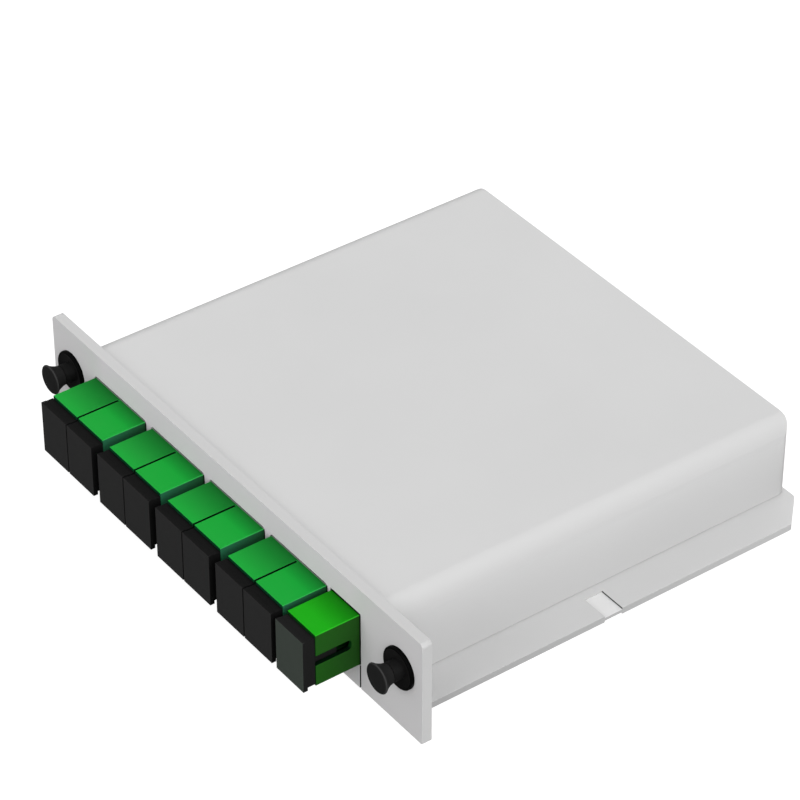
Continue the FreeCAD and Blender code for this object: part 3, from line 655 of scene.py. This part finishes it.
class Finish(Enum):
    """Every finish of the cassette, by the material slot that it dresses."""

    FACEPLATE_GREY = FaceplatePlastic("faceplate_grey", "c8c8c8", 0.55, specular=0.15)
    CASE_GREY = MouldedPlastic("case_grey", "cfcfcf", 0.5, specular=0.15)
    # Painted light on the adapters: front, top and side tones by which way a face points, painted shade
    # darkening tops and sides towards the faceplate, and a painted highlight on the edges.
    ADAPTER_GREEN = AdapterPlastic("adapter_green", front="083a22", top="14a336", side="286648",
                                   edge="2fa64a", specular=0.04, back_painted_shade="146626", side_back_painted_shade="205230",
                                   turns=((0.05, 1.1), (0.58, 1.1)), roughness=0.4)
    ADAPTER_LEAF_GREEN = AdapterPlastic("adapter_leaf_green", front="0a3a12", top="17a90f", side="1f5517",
                                        edge="2cb122", specular=0.04, back_painted_shade="106809", side_back_painted_shade="1d4a15",
                                        seam_painted_light="10140f", turns=((0.33, 1.15),), roughness=0.4)
    # Painted shade: the holders' green is darkened to read as the shade inside the ports.
    HOLDER_PAINTED_SHADE_GREEN = MouldedPlastic("holder_green", "0c3414", 0.45, drift=0.03, specular=0.05)
    ZIRCONIA_WHITE = MouldedPlastic("zirconia_white", "efede6", 0.12, grain_depth_mm=0.0005)
    # Painted light on the caps and latches: front, top and side tones by which way a face points, and a
    # painted highlight on the edges.
    CAP_BLACK = FacedPlastic("cap_black", front="2b2b2b", top="131313", side="131313", edge="333333",
                             roughness=0.6, specular=0.02)
    LATCH_BLACK = FacedPlastic("latch_black", front="1e1e1e", top="242424", side="232323", edge="3a3a3a",
                               roughness=0.5, specular=0.02)
    CONNECTOR_GREEN = MouldedPlastic("connector_green", "1c8f34", 0.36, drift=0.03)
    BOOT_WHITE = MouldedPlastic("boot_white", "e2e2de", 0.6)
    SPLITTER_STEEL = DrawnSteel("splitter_steel", "bcbdbf")
    SPLITTER_BOOT_BLACK = MouldedPlastic("splitter_boot_black", "222222", 0.7)
    SCREW_STEEL = DrawnSteel("screw_steel", "b9bcc0", stretch=(1.0, 1.0, 1.0))
    LEAD_YELLOW = MouldedPlastic("lead_yellow", "e8c020", 0.4)
    LEAD_BLUE = MouldedPlastic("lead_blue", "1f5fb8", 0.4)
    LEAD_ORANGE = MouldedPlastic("lead_orange", "ee8420", 0.4)
    LEAD_GREEN = MouldedPlastic("lead_green", "2c9a48", 0.4)
    LEAD_BROWN = MouldedPlastic("lead_brown", "73482c", 0.4)
    LEAD_SLATE = MouldedPlastic("lead_slate", "7f868c", 0.4)
    LEAD_WHITE = MouldedPlastic("lead_white", "e8e8e6", 0.4)
    LEAD_RED = MouldedPlastic("lead_red", "c22a2a", 0.4)
    LEAD_BLACK = MouldedPlastic("lead_black", "1c1c1c", 0.4)


Plastic = MouldedPlastic | FacedPlastic | DrawnSteel


class FinishRack:
    """Makes each finish's material once, and paints objects with it."""

    def __init__(self) -> None:
        """Starts with no material made."""
        self.made: dict[Plastic, bpy.types.Material] = {}
        by_slot = {finish.value.name: finish.value for finish in Finish}
        self.by_node = {part["node"]: by_slot[part["material_slot"]] for part in frame["record"]["subparts"]}

    def paint(self, piece: bpy.types.Object, finish: Plastic) -> None:
        """Gives a piece one finish all over.

        Args:
            piece: The object to paint.
            finish: The finish it gets.
        """
        if finish not in self.made:
            self.made[finish] = finish.material()
        piece.data.materials.clear()
        piece.data.materials.append(self.made[finish])

    def stand_in(self, piece: bpy.types.Object, node: str, finish: Plastic | None = None) -> None:
        """Lets a piece stand for a CAD node, in the node's finish or a variant of it.

        Args:
            piece: The visible piece.
            node: The node that it replaces.
            finish: A variant of the node's finish, where it has one.
        """
        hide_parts(node)
        self.paint(piece, finish or self.by_node[node])
        LOG.info("%s stands for %s: %d faces", piece.name, node, len(piece.data.polygons))


RACK = FinishRack()


def spot(vert: bmesh.types.BMVert) -> tuple[int, ...]:
    """Gives a point's place in whole weld distances."""
    return tuple(round(along / WELD_M) for along in vert.co)


def spots(part: bmesh.types.BMEdge | bmesh.types.BMFace) -> list[tuple[int, ...]]:
    """Gives the places of an edge's or a face's points, sorted."""
    return sorted(spot(vert) for vert in part.verts)


def number_by_place(shape: bmesh.types.BMesh) -> None:
    """Numbers points, edges and faces by their places, so that every run bevels them alike.

    Args:
        shape: The mesh to put in order.
    """
    for parts, place in ((shape.verts, spot), (shape.edges, spots), (shape.faces, spots)):
        ranks = {part: rank for rank, part in enumerate(sorted(parts, key=place))}
        parts.sort(key=ranks.get)


def solid_object(name: str, shape: bmesh.types.BMesh, body: str) -> bpy.types.Object:
    """Turns a finished bmesh into an object of the scene that rides on a body.

    Args:
        name: The piece's name.
        shape: The finished mesh, which is freed here.
        body: The body that the piece moves with.

    Returns:
        The new object.
    """
    bmesh.ops.recalc_face_normals(shape, faces=shape.faces)
    mesh = bpy.data.meshes.new(name)
    shape.to_mesh(mesh)
    shape.free()
    piece = bpy.data.objects.new(name, mesh)
    bpy.context.scene.collection.objects.link(piece)
    for polygon in mesh.polygons:
        polygon.use_smooth = True
    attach(piece, body)
    return piece


def soften_edges(piece: bpy.types.Object, width_mm: float, segments: int = 2, angle: float = 32.0) -> None:
    """Rounds a piece's sharp edges, so that they catch the light as moulded edges do.

    Args:
        piece: The object whose edges are rounded.
        width_mm: How far each edge is cut back.
        segments: How many steps the rounding has.
        angle: Edges that bend less than this many degrees stay as they are.
    """
    bevel = piece.modifiers.new("moulded_edges", "BEVEL")
    bevel.width = width_mm * MM
    bevel.segments = segments
    bevel.limit_method = "ANGLE"
    bevel.angle_limit = math.radians(angle)
    bevel.use_clamp_overlap = True
    bevel.miter_outer = "MITER_ARC"
    flats = piece.modifiers.new("even_flats", "WEIGHTED_NORMAL")
    flats.mode = "FACE_AREA"
    flats.weight = 50
    flats.keep_sharp = True


def pushed(shape: bmesh.types.BMesh, face: bmesh.types.BMFace, reach: Vector) -> bmesh.types.BMFace:
    """Extrudes one face.

    Args:
        shape: The mesh.
        face: The face to extrude.
        reach: How far it goes and which way.

    Returns:
        The face at the far end.
    """
    made = bmesh.ops.extrude_face_region(shape, geom=[face])["geom"]
    far = next(item for item in made if isinstance(item, bmesh.types.BMFace))
    bmesh.ops.translate(shape, verts=far.verts, vec=reach)
    return far


def bowed(
    start: tuple[float, float], middle: tuple[float, float], end: tuple[float, float], steps: int
) -> list[tuple[float, float]]:
    """Points of a smooth bow from start to end that passes the middle.

    Args:
        start: The first point, as radius and depth.
        middle: The point half-way.
        end: The last point.
        steps: How many stretches the bow has.

    Returns:
        The points, with both ends.
    """
    pull = [2 * m - (a + b) / 2 for a, m, b in zip(start, middle, end)]
    points = []
    for i in range(steps + 1):
        t = i / steps
        points.append(tuple((1 - t) ** 2 * a + 2 * t * (1 - t) * p + t ** 2 * b
                            for a, p, b in zip(start, pull, end)))
    return points


@dataclass
class SoftMoulding:
    """A CAD moulding shown as a merged copy with softly rounded edges."""

    node: str
    edge_mm: float = 0.15
    segments: int = 2
    merge_mm: float = 0.002
    flat_angle: float = 0.4

    def copy_mesh(self) -> bmesh.types.BMesh:
        """Copies the node's triangles, welds them and joins those that lie flat together.

        Returns:
            The mesh.
        """
        shape = bmesh.new()
        shape.from_mesh(frame["nodes"][self.node].data)
        bmesh.ops.remove_doubles(shape, verts=shape.verts, dist=self.merge_mm * MM)
        bmesh.ops.dissolve_limit(shape, angle_limit=math.radians(self.flat_angle),
                                 verts=shape.verts, edges=shape.edges)
        return shape

    def build(self, finish: Plastic | None = None) -> bpy.types.Object:
        """Makes the visible piece and hides the node.

        Args:
            finish: A variant of the node's finish, where it has one.

        Returns:
            The new object.
        """
        piece = solid_object(self.node + "_moulding", self.copy_mesh(), ROOT_BODY)
        soften_edges(piece, self.edge_mm, self.segments)
        RACK.stand_in(piece, self.node, finish)
        return piece


@dataclass
class Casework:
    """The faceplate, the cover and the base tray."""

    faceplate_edge_mm: float = 0.08
    cover_edge_mm: float = 0.15
    tray_edge_mm: float = 0.1
    plate_t_mm: float = 2.3
    band_inset_mm: float = 4.0
    cover_plastic: CoverPlastic = CoverPlastic("case_grey_cover", "d1d1d1", 0.7, specular=0.08)
    tray_plastic: TrayPlastic = TrayPlastic("case_grey_tray", "cfcfcf", 0.5, specular=0.15)

    def plate_tone(self) -> FaceplatePlastic:
        """The faceplate's grey, with its strip of painted light above the row of adapters.

        Returns:
            The finish.
        """
        low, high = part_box("adapter_twin_1")[0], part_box("adapter_single")[1]
        inset = self.band_inset_mm * MM
        return replace(RACK.by_node["faceplate"], x_start=low.x + inset, x_stop=high.x - inset, band_z=high.z)

    def tray_tone(self) -> TrayPlastic:
        """The tray's grey, laid over its length behind the faceplate."""
        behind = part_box("faceplate")[0].y + self.plate_t_mm * MM
        return replace(self.tray_plastic, y_front=behind, y_back=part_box("base_tray")[1].y)

    def build(self) -> None:
        """Builds the three mouldings."""
        SoftMoulding("faceplate", self.faceplate_edge_mm).build(self.plate_tone())
        SoftMoulding("cover", self.cover_edge_mm, 3).build(self.cover_plastic)
        SoftMoulding("base_tray", self.tray_edge_mm).build(self.tray_tone())


@dataclass
class AdapterRow:
    """The four twin adapters and the single one."""

    edge_mm: float = 0.08
    flange_grow: float = 0.7

    def fitted(self, node: str) -> AdapterPlastic:
        """The node's green, laid over the part of its body that stands in front of the faceplate.

        Args:
            node: The adapter's node.

        Returns:
            The finish.
        """
        low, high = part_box(node)
        grow = self.flange_grow * MM
        return replace(RACK.by_node[node], x_start=low.x + grow, x_stop=high.x - grow, y_start=low.y,
                       y_stop=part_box("faceplate")[0].y, crown_z=high.z - grow)

    def build(self) -> None:
        """Builds every adapter body."""
        for node in sorted(frame["nodes"]):
            if node.startswith("adapter_"):
                SoftMoulding(node, self.edge_mm).build(self.fitted(node))


@dataclass
class DustCap:
    """A plug cover: a square head with a lipped face for the finger, and a hollow plug behind."""

    node: str
    lip_t: float = 1.05
    lip_drop: float = 0.8
    lip_rise: float = 0.15
    corner: float = 0.3
    plug_w: float = 6.9
    plug_h: float = 8.6
    plug_l: float = 5.8
    plug_wall: float = 0.8
    edge_mm: float = 0.1
    looks_back: float = 0.9

    def head(self, low: Vector, high: Vector) -> bmesh.types.BMesh:
        """The head and its lips: one stepped outline, drawn across the cap.

        Args:
            low: The cap's lowest corner.
            high: The cap's highest corner.

        Returns:
            The head as a closed mesh.
        """
        lip_y = low.y + self.lip_t * MM
        seat_y = high.y - self.plug_l * MM
        foot, crown = low.z + self.lip_drop * MM, high.z - self.lip_rise * MM
        outline = [(low.y, low.z), (lip_y, low.z), (lip_y, foot), (seat_y, foot),
                   (seat_y, crown), (lip_y, crown), (lip_y, high.z), (low.y, high.z)]
        shape = bmesh.new()
        side = shape.faces.new([shape.verts.new((low.x, y, z)) for y, z in outline])
        made = bmesh.ops.extrude_face_region(shape, geom=[side], use_keep_orig=True)["geom"]
        bmesh.ops.translate(shape, verts=[v for v in made if isinstance(v, bmesh.types.BMVert)],
                            vec=(high.x - low.x, 0, 0))
        bmesh.ops.recalc_face_normals(shape, faces=shape.faces)
        middle = (low.z + high.z) / 2
        long_top = [e for e in shape.edges
                    if abs(e.verts[0].co.y - e.verts[1].co.y) > self.lip_t * MM / 2
                    and min(v.co.z for v in e.verts) > middle]
        bmesh.ops.bevel(shape, geom=long_top, offset=self.corner * MM, affect="EDGES", segments=3,
                        profile=0.5, material=-1, clamp_overlap=True)
        return shape

    def rear_faces(self, shape: bmesh.types.BMesh, seat_y: float) -> list[bmesh.types.BMFace]:
        """Lists the faces that look back from the head's seat.

        Args:
            shape: The head's mesh.
            seat_y: How far back the seat lies.

        Returns:
            The faces, the largest first.
        """
        found = [face for face in shape.faces if face.normal.y > self.looks_back
                 and abs(face.calc_center_median().y - seat_y) < NEAR_M]
        return sorted(found, key=lambda face: face.calc_area(), reverse=True)

    def plug(self, shape: bmesh.types.BMesh, high: Vector, centre: Vector) -> None:
        """Draws the hollow plug out of the head's rear face.

        Args:
            shape: The head's mesh.
            high: The cap's highest corner.
            centre: The middle of the port.
        """
        seat_y = high.y - self.plug_l * MM
        rear = self.rear_faces(shape, seat_y)[0]
        bmesh.ops.inset_region(shape, faces=[rear], thickness=self.corner * MM, use_even_offset=True)
        half = Vector((self.plug_w * MM / 2, 0, self.plug_h * MM / 2))
        for vert in rear.verts:
            vert.co.x = centre.x + math.copysign(half.x, vert.co.x - centre.x)
            vert.co.z = centre.z + math.copysign(half.z, vert.co.z - centre.z)
        bmesh.ops.remove_doubles(shape, verts=shape.verts, dist=WELD_M)
        rear = next(face for face in self.rear_faces(shape, seat_y) if len(face.verts) == 4)
        far = pushed(shape, rear, Vector((0, self.plug_l * MM, 0)))
        bmesh.ops.inset_region(shape, faces=[far], thickness=self.plug_wall * MM, use_even_offset=True)
        depth = high.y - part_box(self.node)[0].y - self.lip_t * MM
        pushed(shape, far, Vector((0, -depth, 0)))
        number_by_place(shape)

    def build(self, finish: Plastic | None = None) -> None:
        """Makes the cap, which moves with its own body.

        Args:
            finish: A variant of the caps' finish, where this cap has one.
        """
        low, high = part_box(self.node)
        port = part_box(self.node.replace("dust_cap", "sleeve_holder"))
        shape = self.head(low, high)
        self.plug(shape, high, (port[0] + port[1]) / 2)
        piece = solid_object(self.node + "_plug", shape, self.node)
        soften_edges(piece, self.edge_mm)
        RACK.stand_in(piece, self.node, finish)


@dataclass
class CapSet:
    """The nine dust caps; the input's cap is a paler black than the others."""

    # Painted light: the input cap's front, top and side tones differ by which way a face points, and its edge
    # tone is a painted highlight.
    input_tone: FacedPlastic = FacedPlastic("cap_black_input", front="3e443f", top="1b1b1b", side="1d1d1d",
                                            edge="454a46", roughness=0.6, specular=0.02)

    def build(self) -> None:
        """Builds every cap."""
        for node in sorted(frame["nodes"]):
            if node.startswith("dust_cap_"):
                DustCap(node).build(self.input_tone if node.endswith("input") else None)


@dataclass
class PullLatch:
    """One latch: a dished collar with a split barrel, and the flared knob that spreads it."""

    side: str
    flange_r: float = 4.6
    flange_t: float = 0.85
    rim_w: float = 0.45
    edge: float = 0.2
    dish: tuple[tuple[float, float], tuple[float, float]] = ((2.15, -0.3), (3.4, -0.455))
    hub_front: float = -2.75
    bore_r: float = 1.65
    barrel_r: float = 3.0
    snap_r: float = 3.3
    snap_y: tuple[float, float, float] = (2.35, 2.4, 3.0)
    slit_y: float = 1.1
    slit_w: float = 0.7
    taper_y: float = 4.3
    tip_r: float = 2.65
    back: float = 4.9
    mouth_r: float = 1.9
    pocket_r: float = 2.4
    pocket_y: tuple[float, float] = (0.3, 4.1)
    knob_r: float = 3.3
    knob_front: float = -5.65
    knob_rim: float = 0.6
    knob_edge: float = 0.25
    flare: tuple[tuple[float, float], tuple[float, float]] = ((2.48, -4.0), (2.15, -2.85))
    shank_r: float = 1.55
    shank_tip: float = 5.4
    nose: float = 0.4
    bead_r: float = 2.15
    bead_y: tuple[float, float] = (3.4, 3.95)
    bead_ramp: float = 0.1
    round_steps: int = 72
    bow_steps: int = 8
    flare_steps: int = 12
    collar_edge_mm: float = 0.06
    knob_edge_mm: float = 0.05
    # Painted light: the collar's front, top and side tones differ by which way a face points, and its rim has
    # painted shade.
    collar_tone: CollarPlastic = CollarPlastic("latch_black_collar", front="1a1a1a", top="131313",
                                               side="131313", edge="1a1a1a", roughness=0.5, specular=0.02)

    def axis_point(self) -> Vector:
        """Where the latch's axis meets the faceplate's front."""
        low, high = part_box("latch_grommet_" + self.side)
        return Vector(((low.x + high.x) / 2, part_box("faceplate")[0].y, (low.z + high.z) / 2))

    def lathe(
        self, shape: bmesh.types.BMesh, profile: list[tuple[float, float]], closed: bool,
        start: float = 0.0, sweep: float = math.tau
    ) -> None:
        """Turns a profile about the latch's axis.

        Args:
            shape: The mesh that takes the form.
            profile: Points of radius and depth behind the faceplate's front, in millimetres.
            closed: Whether the last point joins the first.
            start: The angle where the turning starts, from +X.
            sweep: How far it turns; the two ends of a part turn get faces.
        """
        centre = self.axis_point()
        verts = [shape.verts.new(centre + Vector((r * MM, y * MM, 0))) for r, y in profile]
        pairs = list(zip(verts, verts[1:])) + ([(verts[-1], verts[0])] if closed else [])
        edges = [shape.edges.new(pair) for pair in pairs]
        bmesh.ops.rotate(shape, verts=verts, cent=centre, matrix=Matrix.Rotation(start, 3, "Y"))
        full = sweep >= math.tau
        geometry = verts + edges
        if not full:
            geometry.append(shape.faces.new(verts))
        steps = max(6, round(self.round_steps * sweep / math.tau))
        bmesh.ops.spin(shape, geom=geometry, cent=centre, axis=(0, 1, 0), angle=sweep, steps=steps,
                       use_merge=full)

    def collar(self) -> None:
        """Makes the collar: flange, dish and hub all round, and four fingers behind them."""
        front = -self.flange_t
        low, mid = self.dish
        dish = bowed(low, mid, (self.flange_r - self.rim_w, front), self.bow_steps)
        whole = [(self.bore_r, self.hub_front), (low[0], self.hub_front)] + dish
        whole += [(self.flange_r - self.edge, front), (self.flange_r, front + self.edge),
                  (self.flange_r, 0.0), (self.barrel_r, 0.0), (self.barrel_r, self.slit_y),
                  (self.pocket_r, self.slit_y), (self.pocket_r, self.pocket_y[0]),
                  (self.bore_r, self.pocket_y[0])]
        shape = bmesh.new()
        self.lathe(shape, whole, True)
        finger = [(self.pocket_r, self.slit_y), (self.barrel_r, self.slit_y),
                  (self.barrel_r, self.snap_y[0]), (self.snap_r, self.snap_y[1]),
                  (self.barrel_r, self.snap_y[2]), (self.barrel_r, self.taper_y),
                  (self.tip_r, self.back), (self.mouth_r, self.back),
                  (self.mouth_r, self.pocket_y[1]), (self.pocket_r, self.pocket_y[1])]
        gap = self.slit_w / self.barrel_r
        for quarter in range(4):
            self.lathe(shape, finger, True, quarter * math.pi / 2 + gap / 2, math.pi / 2 - gap)
        bmesh.ops.remove_doubles(shape, verts=shape.verts, dist=WELD_M)
        piece = solid_object("latch_collar_" + self.side, shape, ROOT_BODY)
        soften_edges(piece, self.collar_edge_mm)
        centre = self.axis_point()
        tone = replace(self.collar_tone, axis_x=centre.x, axis_z=centre.z)
        RACK.stand_in(piece, "latch_grommet_" + self.side, tone)

    def knob(self) -> None:
        """Makes the plunger: a flat face, a round rim, the flare and the beaded shank."""
        rim = self.knob_r - self.knob_edge
        face, behind = self.knob_front, self.knob_front + self.knob_rim
        middle = (self.knob_r, (face + behind) / 2)
        profile = [(0.0, face)] + bowed((rim, face), middle, (rim, behind), self.bow_steps)
        profile += bowed((rim, behind), self.flare[0], self.flare[1], self.flare_steps)[1:]
        profile += [(self.shank_r, self.flare[1][1]), (self.shank_r, self.bead_y[0]),
                    (self.bead_r, self.bead_y[0] + self.bead_ramp),
                    (self.bead_r, self.bead_y[1] - self.bead_ramp),
                    (self.shank_r, self.bead_y[1]), (self.shank_r, self.shank_tip - self.nose),
                    (self.shank_r - self.nose, self.shank_tip), (0.0, self.shank_tip)]
        shape = bmesh.new()
        self.lathe(shape, profile, False)
        bmesh.ops.remove_doubles(shape, verts=shape.verts, dist=WELD_M)
        piece = solid_object("latch_knob_" + self.side, shape, "latch_plunger_" + self.side)
        soften_edges(piece, self.knob_edge_mm)
        RACK.stand_in(piece, "latch_plunger_" + self.side)

    def build(self) -> None:
        """Builds the collar and the knob."""
        self.collar()
        self.knob()


@dataclass
class HiddenWorks:
    """The pieces inside the case and the ports, which keep their CAD shape."""

    prefixes: tuple[str, ...] = ("sleeve_holder", "ceramic_sleeves", "connector_", "lead_", "splitter_",
                                 "case_screws")

    def build(self) -> None:
        """Paints each inner node with its finish."""
        for node, obj in sorted(frame["nodes"].items()):
            if node.startswith(self.prefixes):
                RACK.paint(obj, RACK.by_node[node])
                LOG.info("painted %s", node)


@dataclass(frozen=True)
class Lamp:
    """One soft distant lamp: the way to it from the object, its power and how wide it looks in degrees."""

    name: str
    towards: tuple[float, float, float]
    strength: float
    width: float


@dataclass
class Studio:
    """The floor, the lamps, the white surroundings and the camera."""

    floor_half_m: float = 3.0
    floor_gap_mm: float = 0.05
    floor_grey: float = 0.25
    floor_glow: float = 0.92
    floor_roughness: float = 0.9
    floor_specular: float = 0.1
    camera_place_mm: tuple[float, float, float] = (485.718, -358.207, 484.204)
    camera_azimuth: float = 53.733
    camera_elevation: float = 37.405
    focal_px: float = 3729.16
    frame_px: float = 800.0
    sensor_mm: float = 36.0
    clip_m: tuple[float, float] = (0.01, 20.0)
    sky: float = 0.45
    lamps: tuple[Lamp, ...] = (Lamp("key", (0.55, -0.05, 0.37), 2.09, 50.0),
                               Lamp("front", (0.04, -0.44, 0.1), 1.42, 50.0),
                               Lamp("fill", (-0.6, 0.6, 0.35), 0.8, 60.0))

    def camera(self) -> None:
        """Places the camera where the photograph was taken from."""
        azimuth = math.radians(self.camera_azimuth)
        elevation = math.radians(self.camera_elevation)
        back = Vector((math.sin(azimuth) * math.cos(elevation),
                       -math.cos(azimuth) * math.cos(elevation), math.sin(elevation)))
        right = Vector((math.cos(azimuth), math.sin(azimuth), 0.0))
        rotation = Matrix((right, back.cross(right), back)).transposed()
        data = bpy.data.cameras.new("photo_camera")
        data.sensor_width = self.sensor_mm
        data.lens = self.focal_px * self.sensor_mm / self.frame_px
        data.clip_start, data.clip_end = self.clip_m
        camera = bpy.data.objects.new("photo_camera", data)
        camera.matrix_world = Matrix.Translation(Vector(self.camera_place_mm) * MM) @ rotation.to_4x4()
        bpy.context.scene.collection.objects.link(camera)
        bpy.context.scene.camera = camera

    def seen_share(self, tree: bpy.types.NodeTree, kinds: tuple[str, ...]) -> Socket:
        """Adds nodes that are one for the given kinds of ray and none for the rest.

        Args:
            tree: The node tree of the world or of a material.
            kinds: The names of the ray kinds, as the Light Path node has them.

        Returns:
            The socket of the share.
        """
        rays = tree.nodes.new("ShaderNodeLightPath")
        share = rays.outputs[kinds[0]]
        for kind in kinds[1:]:
            either = tree.nodes.new("ShaderNodeMath")
            either.operation = "MAXIMUM"
            tree.links.new(share, either.inputs[0])
            tree.links.new(rays.outputs[kind], either.inputs[1])
            share = either.outputs["Value"]
        return share

    def surroundings(self) -> None:
        """Makes a sky that lights the object plainly and shows white behind it and in its gloss."""
        world = bpy.data.worlds.new("studio")
        bpy.context.scene.world = world
        world.use_nodes = True
        tree = world.node_tree
        light = tree.nodes["Background"]
        light.inputs["Color"].default_value = WHITE
        light.inputs["Strength"].default_value = self.sky
        white = tree.nodes.new("ShaderNodeBackground")
        white.inputs["Color"].default_value = WHITE
        white.inputs["Strength"].default_value = 1.0
        pick = tree.nodes.new("ShaderNodeMixShader")
        seen = self.seen_share(tree, ("Is Camera Ray", "Is Glossy Ray", "Is Transmission Ray"))
        tree.links.new(seen, pick.inputs["Fac"])
        tree.links.new(light.outputs["Background"], pick.inputs[1])
        tree.links.new(white.outputs["Background"], pick.inputs[2])
        tree.links.new(pick.outputs["Shader"], tree.nodes["World Output"].inputs["Surface"])

    def floor(self) -> None:
        """Lays a white floor that keeps a faint soft shadow."""
        shape = bmesh.new()
        bmesh.ops.create_grid(shape, x_segments=1, y_segments=1, size=self.floor_half_m)
        bmesh.ops.translate(shape, verts=shape.verts, vec=(0, 0, CAD_BOX[0].z - self.floor_gap_mm * MM))
        mesh = bpy.data.meshes.new("floor")
        shape.to_mesh(mesh)
        shape.free()
        floor = bpy.data.objects.new("floor", mesh)
        bpy.context.scene.collection.objects.link(floor)
        material = bpy.data.materials.new("floor_white")
        material.use_nodes = True
        tree = material.node_tree
        shader = tree.nodes["Principled BSDF"]
        shader.inputs["Base Color"].default_value = (self.floor_grey, self.floor_grey, self.floor_grey, 1.0)
        shader.inputs["Roughness"].default_value = self.floor_roughness
        shader.inputs["Specular IOR Level"].default_value = self.floor_specular
        glow = tree.nodes.new("ShaderNodeMath")
        glow.operation = "MULTIPLY"
        glow.inputs[1].default_value = self.floor_glow
        tree.links.new(self.seen_share(tree, ("Is Camera Ray",)), glow.inputs[0])
        shader.inputs["Emission Color"].default_value = WHITE
        tree.links.new(glow.outputs["Value"], shader.inputs["Emission Strength"])
        mesh.materials.append(material)

    def light(self, lamp: Lamp) -> None:
        """Adds one lamp to the scene.

        Args:
            lamp: The lamp.
        """
        data = bpy.data.lights.new(lamp.name, "SUN")
        data.energy = lamp.strength
        data.angle = math.radians(lamp.width)
        sun = bpy.data.objects.new(lamp.name, data)
        sun.rotation_mode = "QUATERNION"
        sun.rotation_quaternion = Vector(lamp.towards).to_track_quat("Z", "Y")
        bpy.context.scene.collection.objects.link(sun)

    def build(self) -> None:
        """Builds the whole studio."""
        bpy.context.scene.view_settings.view_transform = "Standard"
        self.surroundings()
        self.floor()
        for lamp in self.lamps:
            self.light(lamp)
        self.camera()


def main() -> None:
    """Builds every sub-assembly and the studio."""
    logging.basicConfig(level=logging.INFO, format="%(name)s: %(message)s")
    Casework().build()
    AdapterRow().build()
    CapSet().build()
    for side in ("left", "right"):
        PullLatch(side).build()
    HiddenWorks().build()
    Studio().build()


if __name__ == "__main__":
    main()
